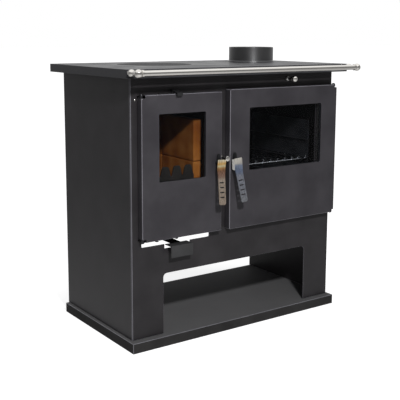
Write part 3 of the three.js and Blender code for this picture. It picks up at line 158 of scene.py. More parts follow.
def round_outline(bm, node, fold):
    """Rounds a front's outline to a fold's radius, then lays its flat face anew inside the fold."""
    low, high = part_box(node)
    touch = 1e-4
    near, level = low.y + touch, low.y + 1e-5
    front = [f for f in bm.faces if f.normal.y < -0.99 and f.calc_center_median().y < near]
    bmesh.ops.inset_region(bm, faces=front, thickness=fold + 0.001, use_even_offset=True)
    outline = {v for v in bm.verts if v.co.y < near
               and min(v.co.x - low.x, high.x - v.co.x, v.co.z - low.z, high.z - v.co.z) < touch}
    outer = [e for e in bm.edges
             if outline.issuperset(e.verts) and e.is_manifold and e.calc_face_angle() > 1]
    bmesh.ops.bevel(bm, geom=outer, offset=fold, segments=4, affect="EDGES", profile=0.5, material=-1)
    front = {f for f in bm.faces if all(v.co.y < level for v in f.verts)}
    bounds = [e for e in bm.edges if len(front.intersection(e.link_faces)) == 1]
    bmesh.ops.delete(bm, geom=list(front), context="FACES")
    bmesh.ops.triangle_fill(bm, edges=bounds, use_beauty=True, normal=(0, -1, 0))


def formed(node, material, radius, segments=3, edge=None, fold=0):
    """A node in its real finish, its edges rounded; an edge colour goes on every slanted face: a painted
    highlight on folds, a painted shade on the hob plate's chamfers.
    """
    straight = 0.975  # a face is slanted when no part of its normal is as large as this
    bm = joined(node)
    if fold:
        round_outline(bm, node, fold)
    round_edges(bm, radius, segments)
    for face in bm.faces:
        slanted = max(abs(c) for c in face.normal) < straight
        face.material_index = 1 if edge and slanted else 0
    piece = show(bm, node + ".formed", material, node)
    if edge:
        piece.data.materials.append(edge)
    return piece


casing_paint = sprayed_paint("matt_stove_paint", "#282628", "#333133", 0.42, 0.25)
# The plinth's level top is painted paler as light from above.
plinth_paint = sprayed_paint("stove_paint_with_painted_top_light", "#302f2f", "#3c3b3b", 0.75, 0.08, top_light=0.36)
# The folds get a paler paint: a painted highlight along the edges.
edge_highlight_paint = sprayed_paint("painted_highlight_on_folds", "#66656b", "#77767d", 0.4, 0.6)
formed("base_plinth", plinth_paint, 0.0022, edge=edge_highlight_paint)

# ---------------------------------------------------------------- side and back panels
# The casing's sides and back are flat 3 mm sheet, sprayed matt black, with a painted highlight on their
# rounded edges.
# The sides are welded to the front from inside; the back stops above the open wood bay.

for panel in ("left_side_panel", "right_side_panel", "back_panel"):
    formed(panel, casing_paint, 0.0014, edge=edge_highlight_paint)

# ---------------------------------------------------------------- front panel
# One laser-cut 4 mm sheet with the arch of the wood bay, both door openings and the air slot.
# Its outer edges are rounded over; its cut edges are only broken, so the arch has a thin crisp rim.

# The front panel's rounded edges carry the same painted highlight.
formed("front_panel", casing_paint, 0.0006, edge=edge_highlight_paint, fold=0.003)

# ---------------------------------------------------------------- deck plate
# The floor of firebox and oven is a plain steel sheet, bare under the stove.
# Hot-rolled sheet keeps its blue-grey mill scale, with a little rust where it has worn.


def mill_steel(name, deep, pale, rust):
    """Hot-rolled sheet steel: cloudy blue-grey scale, a trace of rust, and a half-dull metal sheen."""
    material, tree, shader, place = new_material(name)
    cloud = add_noise(tree, place, 0.05, 6.0)
    spots = add_noise(tree, place, 0.012, 5.0)
    tone = add_node(tree, "ValToRGB", {"Fac": cloud.outputs["Fac"]}, [(0.3, deep), (0.7, pale)])
    worn = add_node(tree, "ValToRGB", {"Fac": spots.outputs["Fac"]}, [(0.62, "#000000"), (0.75, "#8c8c8c")])
    mixed = add_node(tree, "MixRGB", {"Fac": worn.outputs["Color"], "Color1": tone.outputs["Color"],
                                      "Color2": hex_colour(rust)})
    dull = {"Value": spots.outputs["Fac"], "To Min": 0.4, "To Max": 0.7}
    bump = add_node(tree, "Bump", {"Height": spots.outputs["Fac"], "Strength": 0.3, "Distance": 0.0003})
    feed(tree, shader, {
        "Base Color": mixed.outputs["Color"],
        "Metallic": 0.6,
        "Roughness": add_node(tree, "MapRange", dull).outputs["Result"],
        "Normal": bump.outputs["Normal"],
    })
    return material


def dress(node, material):
    """Gives a CAD node, whose shape is right as it is, its real finish."""
    for holder in frame["nodes"][node].material_slots:
        holder.material = material


bare_steel = mill_steel("mill_scale_steel", "#33353a", "#4c4f55", "#5a3d2a")
dress("deck_plate", bare_steel)

# ---------------------------------------------------------------- cooktop frame
# An 8 mm steel plate with a rim welded round it, recessed for the hob plate.
# It was brushed along its length and blued by heat, so it is dark with fine level streaks.


def brushed_plate(name, deep, pale, roughness, shine, stretch):
    """Brushed and blued steel: short streaks along the brushing, which also vary the gloss."""
    streak = 0.004  # the real scratches are 0.1 mm wide, drawn broader to show
    material, tree, shader, place = new_material(name)
    along = add_node(tree, "Mapping", {"Vector": place, "Scale": stretch})
    lines = add_noise(tree, along.outputs["Vector"], streak, 4.0)
    cloud = add_noise(tree, place, 0.08, 3.0)
    both = add_node(tree, "Math", {0: lines.outputs["Fac"], 1: cloud.outputs["Fac"]}, operation="ADD")
    tone = add_node(tree, "ValToRGB", {"Fac": both.outputs["Value"]}, [(0.7, deep), (1.0, pale)])
    half = {"Value": both.outputs["Value"], "From Min": 0.7, "From Max": 1.3,
            "To Min": roughness - 0.1, "To Max": roughness + 0.1}
    bump = add_node(tree, "Bump", {"Height": lines.outputs["Fac"], "Strength": 0.25, "Distance": 0.0002})
    feed(tree, shader, {
        "Base Color": tone.outputs["Color"],
        "Metallic": 0.35,
        "Roughness": add_node(tree, "MapRange", half).outputs["Result"],
        "Specular IOR Level": shine,
        "Normal": bump.outputs["Normal"],
    })
    return material


top_steel = brushed_plate("blued_brushed_steel", "#2f2f32", "#414144", 0.42, 0.3, (0.04, 1, 1))
formed("cooktop_frame", top_steel, 0.0015)

# ---------------------------------------------------------------- hob plate
# An 8 mm cast-iron plate, milled flat and oiled, that drops into the frame and lies level with it.
# Its edges are broken with a file, and these chamfers are painted near-black as the shade in the fine gap
# round it.


def oiled_iron(name, deep, pale, centre):
    """Turned and oiled cast iron: faint rings from the lathe over a dark, slightly porous face."""
    ring_pitch = 0.005  # the real tool marks are 0.3 mm apart, drawn wider to show
    material, tree, shader, place = new_material(name)
    centred = add_node(tree, "Mapping", {"Vector": place, "Location": -centre})
    rings = add_node(tree, "TexWave", {"Vector": centred.outputs["Vector"], "Scale": 1 / (20 * ring_pitch),
                                       "Distortion": 0.4}, wave_type="RINGS", rings_direction="Z")
    pores = add_noise(tree, place, 0.004, 5.0)
    cloud = add_noise(tree, place, 0.05, 4.0)
    tone = add_node(tree, "ValToRGB", {"Fac": cloud.outputs["Fac"]}, [(0.3, deep), (0.7, pale)])
    relief = add_node(tree, "Math", {0: rings.outputs["Fac"], 1: pores.outputs["Fac"]},
                      operation="MULTIPLY")
    dull = {"Value": pores.outputs["Fac"], "To Min": 0.45, "To Max": 0.8}
    bump = add_node(tree, "Bump", {"Height": relief.outputs["Value"], "Strength": 0.3, "Distance": 0.0003})
    feed(tree, shader, {
        "Base Color": tone.outputs["Color"],
        "Metallic": 0.4,
        "Roughness": add_node(tree, "MapRange", dull).outputs["Result"],
        "Specular IOR Level": 0.3,
        "Normal": bump.outputs["Normal"],
    })
    return material


ring_low, ring_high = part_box("hob_ring")
ring_middle = (ring_low + ring_high) / 2
plate_iron = brushed_plate("milled_cast_iron", "#222224", "#3a3a3c", 0.38, 0.4, (0.06, 1, 1))
# Near-black paint for the chamfers and the sides of ring and lid: painted shade in the gaps.
gap_shade = sprayed_paint("painted_shade_in_the_gaps", "#090909", "#121212", 0.8, 0.05)
formed("hob_plate", plate_iron, 0.0016, edge=gap_shade)

# ---------------------------------------------------------------- hob ring and lid
# A turned cast-iron ring and lid close the round cooking hole; each sits in the rebate of the next.
# Both have a slot for the lifter's hook, and their rims are rounded by wear; their sides and undersides are
# painted near-black as the shade in the gaps and slots.


def flat_outline(bm, width, depth, middle):
    """A slot's outline, or a circle's where width and depth are the same, as a loop of edges."""
    loop = bmesh.ops.create_circle(bm, segments=96 if width == depth else 24, radius=depth / 2)["verts"]
    turn = Matrix.Rotation(math.radians(7.5), 3, "Z")  # half a step of the slot's 24
    bmesh.ops.rotate(bm, verts=loop, cent=(0, 0, 0), matrix=turn)
    for vert in loop:
        vert.co.x += math.copysign((width - depth) / 2, vert.co.x)
    bmesh.ops.translate(bm, verts=loop, vec=middle)


def thicken(bm, vec):
    """Draws a bmesh's flat faces out into a solid along a vector."""
    drawn = bmesh.ops.extrude_face_region(bm, geom=bm.faces[:])["geom"]
    bmesh.ops.translate(bm, verts=[v for v in drawn if isinstance(v, bmesh.types.BMVert)], vec=vec)
    bmesh.ops.recalc_face_normals(bm, faces=bm.faces)


def pierced_disc(bm, outer, inner, slot, low, high):
    """A turned disc with a hole in its middle, where it has one, and the lifter's slot through it."""
    made = bmesh.new()
    base = Vector((ring_middle.x, ring_middle.y, low))
    flat_outline(made, 2 * outer, 2 * outer, base)
    if inner:
        flat_outline(made, 2 * inner, 2 * inner, base)
    flat_outline(made, slot_l, slot_w, base - Vector((0, slot, 0)))
    bmesh.ops.triangle_fill(made, use_beauty=True, use_dissolve=True, edges=made.edges, normal=(0, 0, 1))
    thicken(made, (0, 0, high - low))
    round_edges(made, 0.0011, 2)
    # Faces that do not look up get the painted shade of the gaps.
    for face in made.faces:
        face.material_index = 0 if face.normal.z > 0.9 else 1
    mesh = bpy.data.meshes.new("disc")
    made.to_mesh(mesh)
    made.free()
    bm.from_mesh(mesh)
    bpy.data.meshes.remove(mesh)


turned_iron = oiled_iron("turned_cast_iron", "#1d1d1f", "#303032", ring_middle)
rebate, play = 0.0025, 0.0003
slot_l, slot_w = 0.014, 0.008
ring_r, lid_r, lap = 0.112, 0.066, 0.005
ring_slot = (ring_r + lid_r) / 2
hob_ring = bmesh.new()
pierced_disc(hob_ring, ring_r, lid_r + play, ring_slot, ring_high.z - rebate + play, ring_high.z)
pierced_disc(hob_ring, ring_r - lap - play, lid_r - lap, ring_slot, ring_low.z, ring_high.z - rebate)
show(hob_ring, "hob_ring.turned", turned_iron, "hob_ring").data.materials.append(gap_shade)
hob_lid = bmesh.new()
pierced_disc(hob_lid, lid_r, 0, lid_r / 2, ring_high.z - rebate + play, ring_high.z)
pierced_disc(hob_lid, lid_r - lap - play, 0, lid_r / 2, ring_low.z, ring_high.z - rebate + play)
show(hob_lid, "hob_lid.turned", turned_iron, "hob_lid").data.materials.append(gap_shade)

# ---------------------------------------------------------------- flue collar
# A 150 mm pipe stub in 3 mm steel, with a slightly spread foot that is welded to the cooktop.
# It is sprayed with a graphite paint, smooth and metallic, so it shows one soft band of light.


def turned(bm, profile, centre, axis, steps=64):
    """Spins a profile, pairs of radius and distance along the axis, round the axis through centre."""
    axis = Vector(axis)
    out = axis.orthogonal().normalized()
    verts = [bm.verts.new(centre + out * r + axis * h) for r, h in profile]
    edges = [bm.edges.new(pair) for pair in zip(verts, verts[1:])]
    bmesh.ops.spin(bm, geom=verts + edges, cent=centre, axis=axis, angle=math.tau, steps=steps,
                   use_merge=True, use_duplicate=False)
    bmesh.ops.remove_doubles(bm, verts=bm.verts, dist=1e-6)
    bmesh.ops.recalc_face_normals(bm, faces=bm.faces)
    return bm


flue_low, flue_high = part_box("flue_collar")
flue_h = flue_high.z - flue_low.z
foot_r = (flue_high.x - flue_low.x) / 2
pipe_r, bore_r = foot_r - 0.002, foot_r - 0.005
collar_profile = [(bore_r, 0), (foot_r, 0), (foot_r, 0.0012), (pipe_r, 0.0026), (pipe_r, flue_h),
                  (bore_r, flue_h), (bore_r, 0)]
collar_foot = Vector(((flue_low.x + flue_high.x) / 2, (flue_low.y + flue_high.y) / 2, flue_low.z))
collar_paint = sprayed_paint("graphite_stove_paint", "#5e5e5f", "#6b6b6c", 0.3, 0.5, metal=0.9)
collar = turned(bmesh.new(), collar_profile, collar_foot, (0, 0, 1), 96)
show(round_edges(collar, 0.0008), "flue_collar.turned", collar_paint, "flue_collar")

# ---------------------------------------------------------------- towel rail
# A drawn steel tube with a turned ball at each end, on a turned post at each front corner.
# Bright chrome over polished steel, in which the room's dark and light bands stretch along the tube.


def chrome_plate(name, colour, roughness, metal=1.0):
    """Chrome plate: near-white metal, mirror-like, with faint wipe marks that soften it here and there."""
    material, tree, shader, place = new_material(name)
    wipes = add_noise(tree, place, 0.02, 5.0)
    dull = {"Value": wipes.outputs["Fac"], "From Min": 0.3, "From Max": 0.7,
            "To Min": roughness, "To Max": roughness + 0.08}
    feed(tree, shader, {
        "Base Color": hex_colour(colour),
        "Metallic": metal,
        "Roughness": add_node(tree, "MapRange", dull).outputs["Result"],
    })
    return material


def back_of(node):
    """The middle of the rear face of a node's box."""
    low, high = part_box(node)
    return Vector(((low.x + high.x) / 2, high.y, (low.z + high.z) / 2))


def ball_profile(radius, steps=16):
    """Half a circle as a profile, from pole to pole about the ball's middle."""
    turns = [math.pi * i / steps for i in range(steps + 1)]
    return [(radius * math.sin(t) if 0 < i < steps else 0, -radius * math.cos(t))
            for i, t in enumerate(turns)]


chrome = chrome_plate("bright_chrome_plate", "#dad7d2", 0.07)
tube_low, tube_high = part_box("towel_rail")
tube_r = (tube_high.z - tube_low.z) / 2
tube_l = tube_high.x - tube_low.x
tube_start = Vector((tube_low.x, (tube_low.y + tube_high.y) / 2, (tube_low.z + tube_high.z) / 2))
tube = turned(bmesh.new(), [(0, 0), (tube_r, 0), (tube_r, tube_l), (0, tube_l)], tube_start, (1, 0, 0))
show(tube, "towel_rail.tube", chrome, "towel_rail")

for side in ("left", "right"):
    low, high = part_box("rail_end_" + side)
    middle = (low + high) / 2
    inward = 1 if side == "left" else -1
    end_r = (high.x - low.x) / 2
    end = turned(bmesh.new(), ball_profile(end_r, 24), middle, (inward, 0, 0))
    neck = [(tube_r, 0.0075), (tube_r + 0.0018, 0.0075), (tube_r + 0.0018, 0.0135), (tube_r, 0.0145)]
    turned(end, neck, middle, (inward, 0, 0))
    show(end, "rail_end_" + side + ".turned", chrome, "rail_end_" + side)
    low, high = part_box("rail_bracket_" + side)
    reach = high.y - low.y
    post = [(0, 0), (0.0072, 0), (0.0072, 0.0015), (0.006, 0.0022), (0.0085, 0.0045), (0.0098, 0.0075),
            (0.0102, 0.0105), (0.0098, 0.0135), (0.0083, 0.0165), (0.006, 0.0188), (0.005, 0.02),
            (0.005, reach), (0, reach)]
    bracket = turned(bmesh.new(), post, back_of("rail_bracket_" + side), (0, -1, 0), 48)
    show(bracket, "rail_bracket_" + side + ".turned", chrome, "rail_bracket_" + side)

# ---------------------------------------------------------------- firebox shell and shelf
# Welded steel walls round the fire, and the shelf that the bricks and the grate rest on.
# They are bare steel under a coat of soot, dull and nearly black.

sooty_steel = mill_steel("sooty_steel", "#161514", "#2a2826", "#33231a")
dress("firebox_shell", sooty_steel)
dress("grate_shelf", sooty_steel)

# ---------------------------------------------------------------- grate and log guard
# Sand-cast iron: the flat slotted grate under the fire, and the wavy guard that holds the logs back.
# The sand leaves a coarse skin, and the heat has burnt it to a brown-grey.


def sand_casting(name, deep, pale):
    """Sand-cast iron: a pebbly skin from the mould, dark and dry, with paler worn high spots."""
    sand = 0.003  # the real sand is 0.5 mm, drawn coarser to show
    material, tree, shader, place = new_material(name)
    skin = add_noise(tree, place, sand, 4.0)
    cloud = add_noise(tree, place, 0.04, 5.0)
    tone = add_node(tree, "ValToRGB", {"Fac": cloud.outputs["Fac"]}, [(0.32, deep), (0.7, pale)])
    bump = add_node(tree, "Bump", {"Height": skin.outputs["Fac"], "Strength": 0.6, "Distance": 0.0006})
    feed(tree, shader, {
        "Base Color": tone.outputs["Color"],
        "Metallic": 0.2,
        "Roughness": 0.75,
        "Normal": bump.outputs["Normal"],
    })
    return material


burnt_iron = sand_casting("sand_cast_iron", "#201f1e", "#3b3734")
formed("grate", burnt_iron, 0.0012, 2)
formed("log_guard", burnt_iron, 0.0016)

# ---------------------------------------------------------------- firebricks
# Pressed refractory bricks line the fire's sides and back in two courses, laid dry.
# They are baked to an orange-brown, pitted, with chipped edges, and darker towards their top.


def refractory(name, darkening_from, darkening_to):
    """Refractory brick: dry sandy orange-brown with pits, darker towards its top."""
    material, tree, shader, place = new_material(name)
    grit = add_noise(tree, place, 0.004, 6.0)
    cloud = add_noise(tree, place, 0.045, 4.0)
    clay = add_node(tree, "ValToRGB", {"Fac": cloud.outputs["Fac"]},
                    [(0.3, "#9c5520"), (0.7, "#d98f45"), (0.5, "#bd722e")])
    height = add_node(tree, "SeparateXYZ", {"Vector": place}).outputs["Z"]
    rising = add_node(tree, "MapRange", {"Value": height, "From Min": darkening_from, "From Max": darkening_to,
                                         "To Max": 0.85})
    patchy = add_node(tree, "Math", {0: rising.outputs["Result"], 1: cloud.outputs["Fac"]},
                      operation="MULTIPLY")
    darkened = add_node(tree, "MixRGB", {"Fac": patchy.outputs["Value"], "Color1": clay.outputs["Color"],
                                       "Color2": hex_colour("#1c1815")})
    bump = add_node(tree, "Bump", {"Height": grit.outputs["Fac"], "Strength": 0.8, "Distance": 0.0008})
    feed(tree, shader, {
        "Base Color": darkened.outputs["Color"],
        "Roughness": 0.95,
        "Specular IOR Level": 0.2,
        "Normal": bump.outputs["Normal"],
    })
    return material


def laid_bricks(board, along, count, material):
    """Two courses of bricks in a board's place, count of them in each course along X (0) or Y (1)."""
    joint, arris, chip_depth, chips_per_metre = 0.0014, 0.003, 0.0016, 90
    low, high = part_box(board)
    size = high - low
    size.z /= 2
    size[along] /= count
    bm = bmesh.new()
    for course in range(2):
        for i in range(count):
            corner = low + Vector((0, 0, course * size.z))
            corner[along] += i * size[along]
            block = bmesh.ops.create_cube(bm, size=1)["verts"]
            bmesh.ops.scale(bm, verts=block, vec=size - Vector((joint, joint, joint)))
            bmesh.ops.translate(bm, verts=block, vec=corner + size / 2)
    bmesh.ops.bevel(bm, geom=bm.edges[:], offset=arris, segments=2, affect="EDGES", profile=0.5,
                    material=-1)
    bmesh.ops.subdivide_edges(bm, edges=[e for e in bm.edges if e.calc_length() > 0.02], cuts=9,
                              use_grid_fill=True)
    for vert in bm.verts:
        chip = noise.noise(vert.co * chips_per_metre) - 0.1
        vert.co -= vert.normal * chip_depth * max(0, chip)
    show(bm, board + ".bricks", material, board)


brick_clay = refractory("refractory_brick", 0.5, 0.68)
laid_bricks("firebrick_left", 1, 2, brick_clay)
laid_bricks("firebrick_right", 1, 2, brick_clay)
laid_bricks("firebrick_back", 0, 1, brick_clay)

# ---------------------------------------------------------------- ash pan
# A drawn sheet tray with a turned-down lip, which stands on the deck under the grate.
# Galvanised once, now grey and streaked with ash.

pan_steel = mill_steel("ash_grey_steel", "#4a4a4a", "#67655f", "#7d7a72")
formed("ash_pan", pan_steel, 0.0007, 2)

# ---------------------------------------------------------------- air box and lower air slide
# Under the deck a channel carries the slide, whose front is bent down into a wide plate for the hand.
# The channel is bare steel; the slide's paint is a shade paler than the casing's.

dress("air_box", bare_steel)
slide_paint = sprayed_paint("worn_stove_paint", "#2c2c2d", "#3a3a3b", 0.5, 0.4)
formed("primary_air_slide", slide_paint, 0.0009)

# ---------------------------------------------------------------- oven
# A welded steel box fired with black enamel, with folded runners on its sides.
# Glassy and almost black, so only its mouth and the runners catch any light.


def black_enamel(name):
    """Vitreous enamel: a deep black, clouded by baked-on grease that also dulls its gloss in patches."""
    material, tree, shader, place = new_material(name)
    cloud = add_noise(tree, place, 0.05, 3.0)
    tone = add_node(tree, "ValToRGB", {"Fac": cloud.outputs["Fac"]}, [(0.3, "#050505"), (0.7, "#0b0a0a")])
    dull = {"Value": cloud.outputs["Fac"], "To Min": 0.35, "To Max": 0.6}
    feed(tree, shader, {
        "Base Color": tone.outputs["Color"],
        "Roughness": add_node(tree, "MapRange", dull).outputs["Result"],
        "Specular IOR Level": 0.2,
    })
    return material


formed("oven_box", black_enamel("black_vitreous_enamel"), 0.0012)
for side in ("left", "right"):
    formed("oven_runner_" + side, bare_steel, 0.0006, 2)

# ---------------------------------------------------------------- oven rack
# A rack of drawn wire: a thick frame, and thin cross wires whose front ends turn up to a point.
# Chromed, and dulled a little by the oven's heat.


def wires(bm, runs, radius, sides=2):
    """Adds wires to a bmesh; each run is a list of a point and the wire's relative thickness there."""
    path = bpy.data.curves.new("wire", "CURVE")
    path.dimensions = "3D"
    path.bevel_depth, path.bevel_resolution, path.use_fill_caps = radius, sides, True
    for run in runs:
        spline = path.splines.new("POLY")
        spline.points.add(len(run) - 1)
        for point, (place, share) in zip(spline.points, run):
            point.co, point.radius = (*place, 1), share
    holder = bpy.data.objects.new("wire", path)
    bpy.context.scene.collection.objects.link(holder)
    bpy.context.view_layer.update()
    mesh = bpy.data.meshes.new_from_object(holder.evaluated_get(bpy.context.evaluated_depsgraph_get()))
    bm.from_mesh(mesh)
    bpy.data.objects.remove(holder)
    bpy.data.curves.remove(path)
    bpy.data.meshes.remove(mesh)
    return bm


def bend(centre, radius, start, end, steps=6):
    """Points round a bend in the plane across X, between two angles in degrees from -Y upwards."""
    turns = [math.radians(start + (end - start) * i / steps) for i in range(steps + 1)]
    return [centre + Vector((0, -radius * math.cos(t), radius * math.sin(t))) for t in turns]


rack_low, rack_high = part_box("oven_rack")
frame_r, rod_r, rod_pitch, tip_bend = 0.003, 0.0018, 0.029, 0.003
rack_z = rack_low.z + frame_r
x0, x1 = rack_low.x + frame_r, rack_high.x - frame_r
y0, y1 = rack_low.y + rod_r + frame_r, rack_high.y - frame_r
corner = 0.006
ring = [(x0 + corner, y0), (x1 - corner, y0)]
for cx, cy, start in ((x1 - corner, y0 + corner, -90), (x1 - corner, y1 - corner, 0),
                      (x0 + corner, y1 - corner, 90), (x0 + corner, y0 + corner, 180)):
    for step in range(1, 7):
        a = math.radians(start + step * 15)
        ring.append((cx + corner * math.cos(a), cy + corner * math.sin(a)))
rack = wires(bmesh.new(), [[(Vector((x, y, rack_z)), 1) for x, y in ring]], frame_r, 3)
rod_z = rack_z + frame_r
rod_count = int((x1 - x0 - rod_pitch) / rod_pitch) + 1
rods = []
for i in range(rod_count):
    x = (x0 + x1 - (rod_count - 1) * rod_pitch) / 2 + i * rod_pitch
    centre = Vector((x, rack_low.y + rod_r + tip_bend, rod_z + tip_bend))
    run = [(Vector((x, y1, rod_z)), 1)]
    run += [(point, 1) for point in bend(centre, tip_bend, -90, 0)]
    tip = Vector((x, rack_low.y + rod_r, rack_high.z))
    rods.append(run + [(tip - Vector((0, 0, 0.003)), 1), (tip, 0.12)])
wires(rack, rods, rod_r)
rack_chrome = chrome_plate("oven_dulled_chrome", "#e6eaf2", 0.2)
show(rack, "oven_rack.wires", rack_chrome, "oven_rack")

# ---------------------------------------------------------------- flue way and damper
# Folded steel sheet steers the smoke; a plate on a rod shuts the short way to the flue.
# The rod passes a zinc-plated nut on the front panel and ends in a chromed ball.

for node in ("flue_partition", "damper_guide", "damper_plate"):
    dress(node, sooty_steel)

rod_low, rod_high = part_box("damper_rod")
rod_radius = (rod_high.x - rod_low.x) / 2
rod_back = back_of("damper_rod")
rod_l = rod_high.y - rod_low.y
rod_steel = chrome_plate("drawn_steel_rod", "#8b8c90", 0.3)
rod_profile = [(0, 0), (rod_radius, 0), (rod_radius, rod_l), (0, rod_l)]
rod = turned(bmesh.new(), rod_profile, rod_back, (0, -1, 0), 32)
show(rod, "damper_rod.drawn", rod_steel, "damper_rod")

nut_low, nut_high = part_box("damper_nut")
nut = bmesh.new()
nut_r = (nut_high.x - nut_low.x) / 2
hexagon = bmesh.ops.create_circle(nut, segments=6, radius=nut_r, cap_ends=True)["verts"]
bmesh.ops.rotate(nut, verts=hexagon, cent=(0, 0, 0), matrix=Matrix.Rotation(math.radians(90), 3, "X"))
bmesh.ops.translate(nut, verts=hexagon, vec=(rod_back.x, nut_high.y, rod_back.z))
thicken(nut, (0, nut_low.y - nut_high.y, 0))
nut_zinc = chrome_plate("zinc_plated_nut", "#f0efec", 0.4, 0.3)
show(round_edges(nut, 0.0007, 2), "damper_nut.hexagon", nut_zinc, "damper_nut")

knob_low, knob_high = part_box("damper_knob")
knob_middle = (knob_low + knob_high) / 2
knob_r = (knob_high.x - knob_low.x) / 2
knob = turned(bmesh.new(), ball_profile(knob_r, 24), knob_middle, (0, -1, 0))
knob_neck = [(0.004, -0.0125), (0.006, -0.0125), (0.006, -0.0085), (0.004, -0.0075)]
turned(knob, knob_neck, knob_middle, (0, -1, 0), 32)
show(knob, "damper_knob.turned", chrome, "damper_knob")

# ---------------------------------------------------------------- doors
# Each door is a tray folded from 2.5 mm sheet round its window, with soft folds along all four sides.
# Its paint is a satin one, a shade lighter and bluer than the casing's.

door_paint = sprayed_paint("satin_door_paint", "#333135", "#3f3d41", 0.45, 0.3)
# The doors' folds are painted lighter: a painted edge highlight.
door_edge_highlight = sprayed_paint("painted_highlight_on_door_folds", "#69676e", "#79777e", 0.4, 0.6)
for side in ("fire", "oven"):
    formed(side + "_door_tray", door_paint, 0.0006, edge=door_edge_highlight, fold=0.003)
    formed(side + "_door_liner", casing_paint, 0.0006, 2)
    dress(side + "_glass_retainer", bare_steel)

# ---------------------------------------------------------------- door glass
# A 4 mm pane of glass ceramic behind each window, held by a steel frame.
# Clear and slightly smoky, with a thin film of wipe marks and soot.


def glass_ceramic(name):
    """Glass ceramic: clear with a smoky cast, mirror-smooth apart from faint wipe marks."""
    material, tree, shader, place = new_material(name)
    wipes = add_noise(tree, place, 0.04, 5.0)
    film = {"Value": wipes.outputs["Fac"], "From Min": 0.35, "From Max": 0.7, "To Min": 0.02, "To Max": 0.1}
    feed(tree, shader, {
        "Base Color": hex_colour("#0c0d0f"),
        "Roughness": add_node(tree, "MapRange", film).outputs["Result"],
        "IOR": 1.54,
        "Specular IOR Level": 0.15,
        "Alpha": 0.2,
    })
    return material


clear_ceramic = glass_ceramic("glass_ceramic")
for side in ("fire", "oven"):
    formed(side + "_door_glass", clear_ceramic, 0.0006, 2)

# ---------------------------------------------------------------- rope seals
# A soft glass-fibre rope runs round each opening, glued to the liner and pressed flat by the shut door.
# Four strands twisted round each other, black with graphite.


def graphite_rope(name):
    """Graphited glass fibre: matt black yarn with a fine fuzzy grain and a faint silky sheen."""
    material, tree, shader, place = new_material(name)
    yarn = add_noise(tree, place, 0.0012, 3.0)
    tone = add_node(tree, "ValToRGB", {"Fac": yarn.outputs["Fac"]}, [(0.35, "#19191a"), (0.7, "#3a3a3c")])
    bump = add_node(tree, "Bump", {"Height": yarn.outputs["Fac"], "Strength": 0.6, "Distance": 0.0004})
    feed(tree, shader, {
        "Base Color": tone.outputs["Color"],
        "Roughness": 0.9,
        "Sheen Weight": 0.3,
        "Normal": bump.outputs["Normal"],
    })
    return material


seal_yarn = graphite_rope("graphite_glass_rope")
band, curve_r, lay_length = 0.01, 0.017, 0.018
strands, strand_r, lay_r, steps_per_lay = 4, 0.0026, 0.0024, 10
for side in ("fire", "oven"):
    low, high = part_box(side + "_rope_seal")
    ax, az = low.x + band / 2 + curve_r, low.z + band / 2 + curve_r
    bx, bz = high.x - band / 2 - curve_r, high.z - band / 2 - curve_r
    rope_y = (low.y + high.y) / 2
    route = []
    for cx, cz, start in ((bx, az, -90), (bx, bz, 0), (ax, bz, 90), (ax, az, 180)):
        for step in range(9):
            a = math.radians(start + step * 11.25)
            outward = Vector((math.cos(a), 0, math.sin(a)))
            route.append((Vector((cx, rope_y, cz)) + outward * curve_r, outward))
    route.append(route[0])
    runs = [[] for _ in range(strands)]
    travelled = 0
    for (here, out_a), (there, out_b) in zip(route, route[1:]):
        gap = (there - here).length
        pieces = max(1, round(gap * steps_per_lay / lay_length))
        for i in range(pieces):
            share = i / pieces
            spot, outward = here.lerp(there, share), out_a.lerp(out_b, share).normalized()
            for k, run in enumerate(runs):
                turn = math.tau * ((travelled + gap * share) / lay_length + k / strands)
                offset = outward * math.cos(turn) + Vector((0, 1, 0)) * math.sin(turn)
                run.append((spot + offset * lay_r, 1))
        travelled += gap
    for run in runs:
        run.append(run[0])
    rope = wires(bmesh.new(), runs, strand_r, 1)
    flat = (high.y - low.y) / band
    bmesh.ops.scale(rope, verts=rope.verts, vec=(1, flat, 1), space=Matrix.Translation((0, -rope_y, 0)))
    show(rope, side + "_rope_seal.twisted", seal_yarn, side + "_rope_seal")

# ---------------------------------------------------------------- handle bushes and shafts
# A flanged bush guides each handle's shaft through the door; a finger on the shaft is the latch's cam.
# Turned and stamped steel, blackened in oil; the bushes' near-black also stands for the shade under the
# handle heads.

black_steel = mill_steel("oil_blackened_steel_with_painted_shade", "#151517", "#252528", "#2b2019")
bush_bore, set_back = 0.0055, 0.0012
for side in ("fire", "oven"):
    low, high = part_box(side + "_handle_bush")
    rim, thick = (high.x - low.x) / 2, high.y - low.y
    flange = [(bush_bore, 0), (rim, 0), (rim, thick * 0.5), (rim - 0.0018, thick), (bush_bore, thick),
              (bush_bore, 0)]
    bush = turned(bmesh.new(), flange, back_of(side + "_handle_bush"), (0, -1, 0), 48)
    show(round_edges(bush, 0.0003, 2), side + "_handle_bush.turned", black_steel, side + "_handle_bush")
    shaft = joined(side + "_handle_shaft")
    shaft_front = min(v.co.y for v in shaft.verts)
    stub = [v for v in shaft.verts if v.co.y < shaft_front + 0.0001]
    bmesh.ops.translate(shaft, verts=stub, vec=(0, set_back, 0))
    round_edges(shaft, 0.0005, 2)
    show(shaft, side + "_handle_shaft.stamped", black_steel, side + "_handle_shaft")
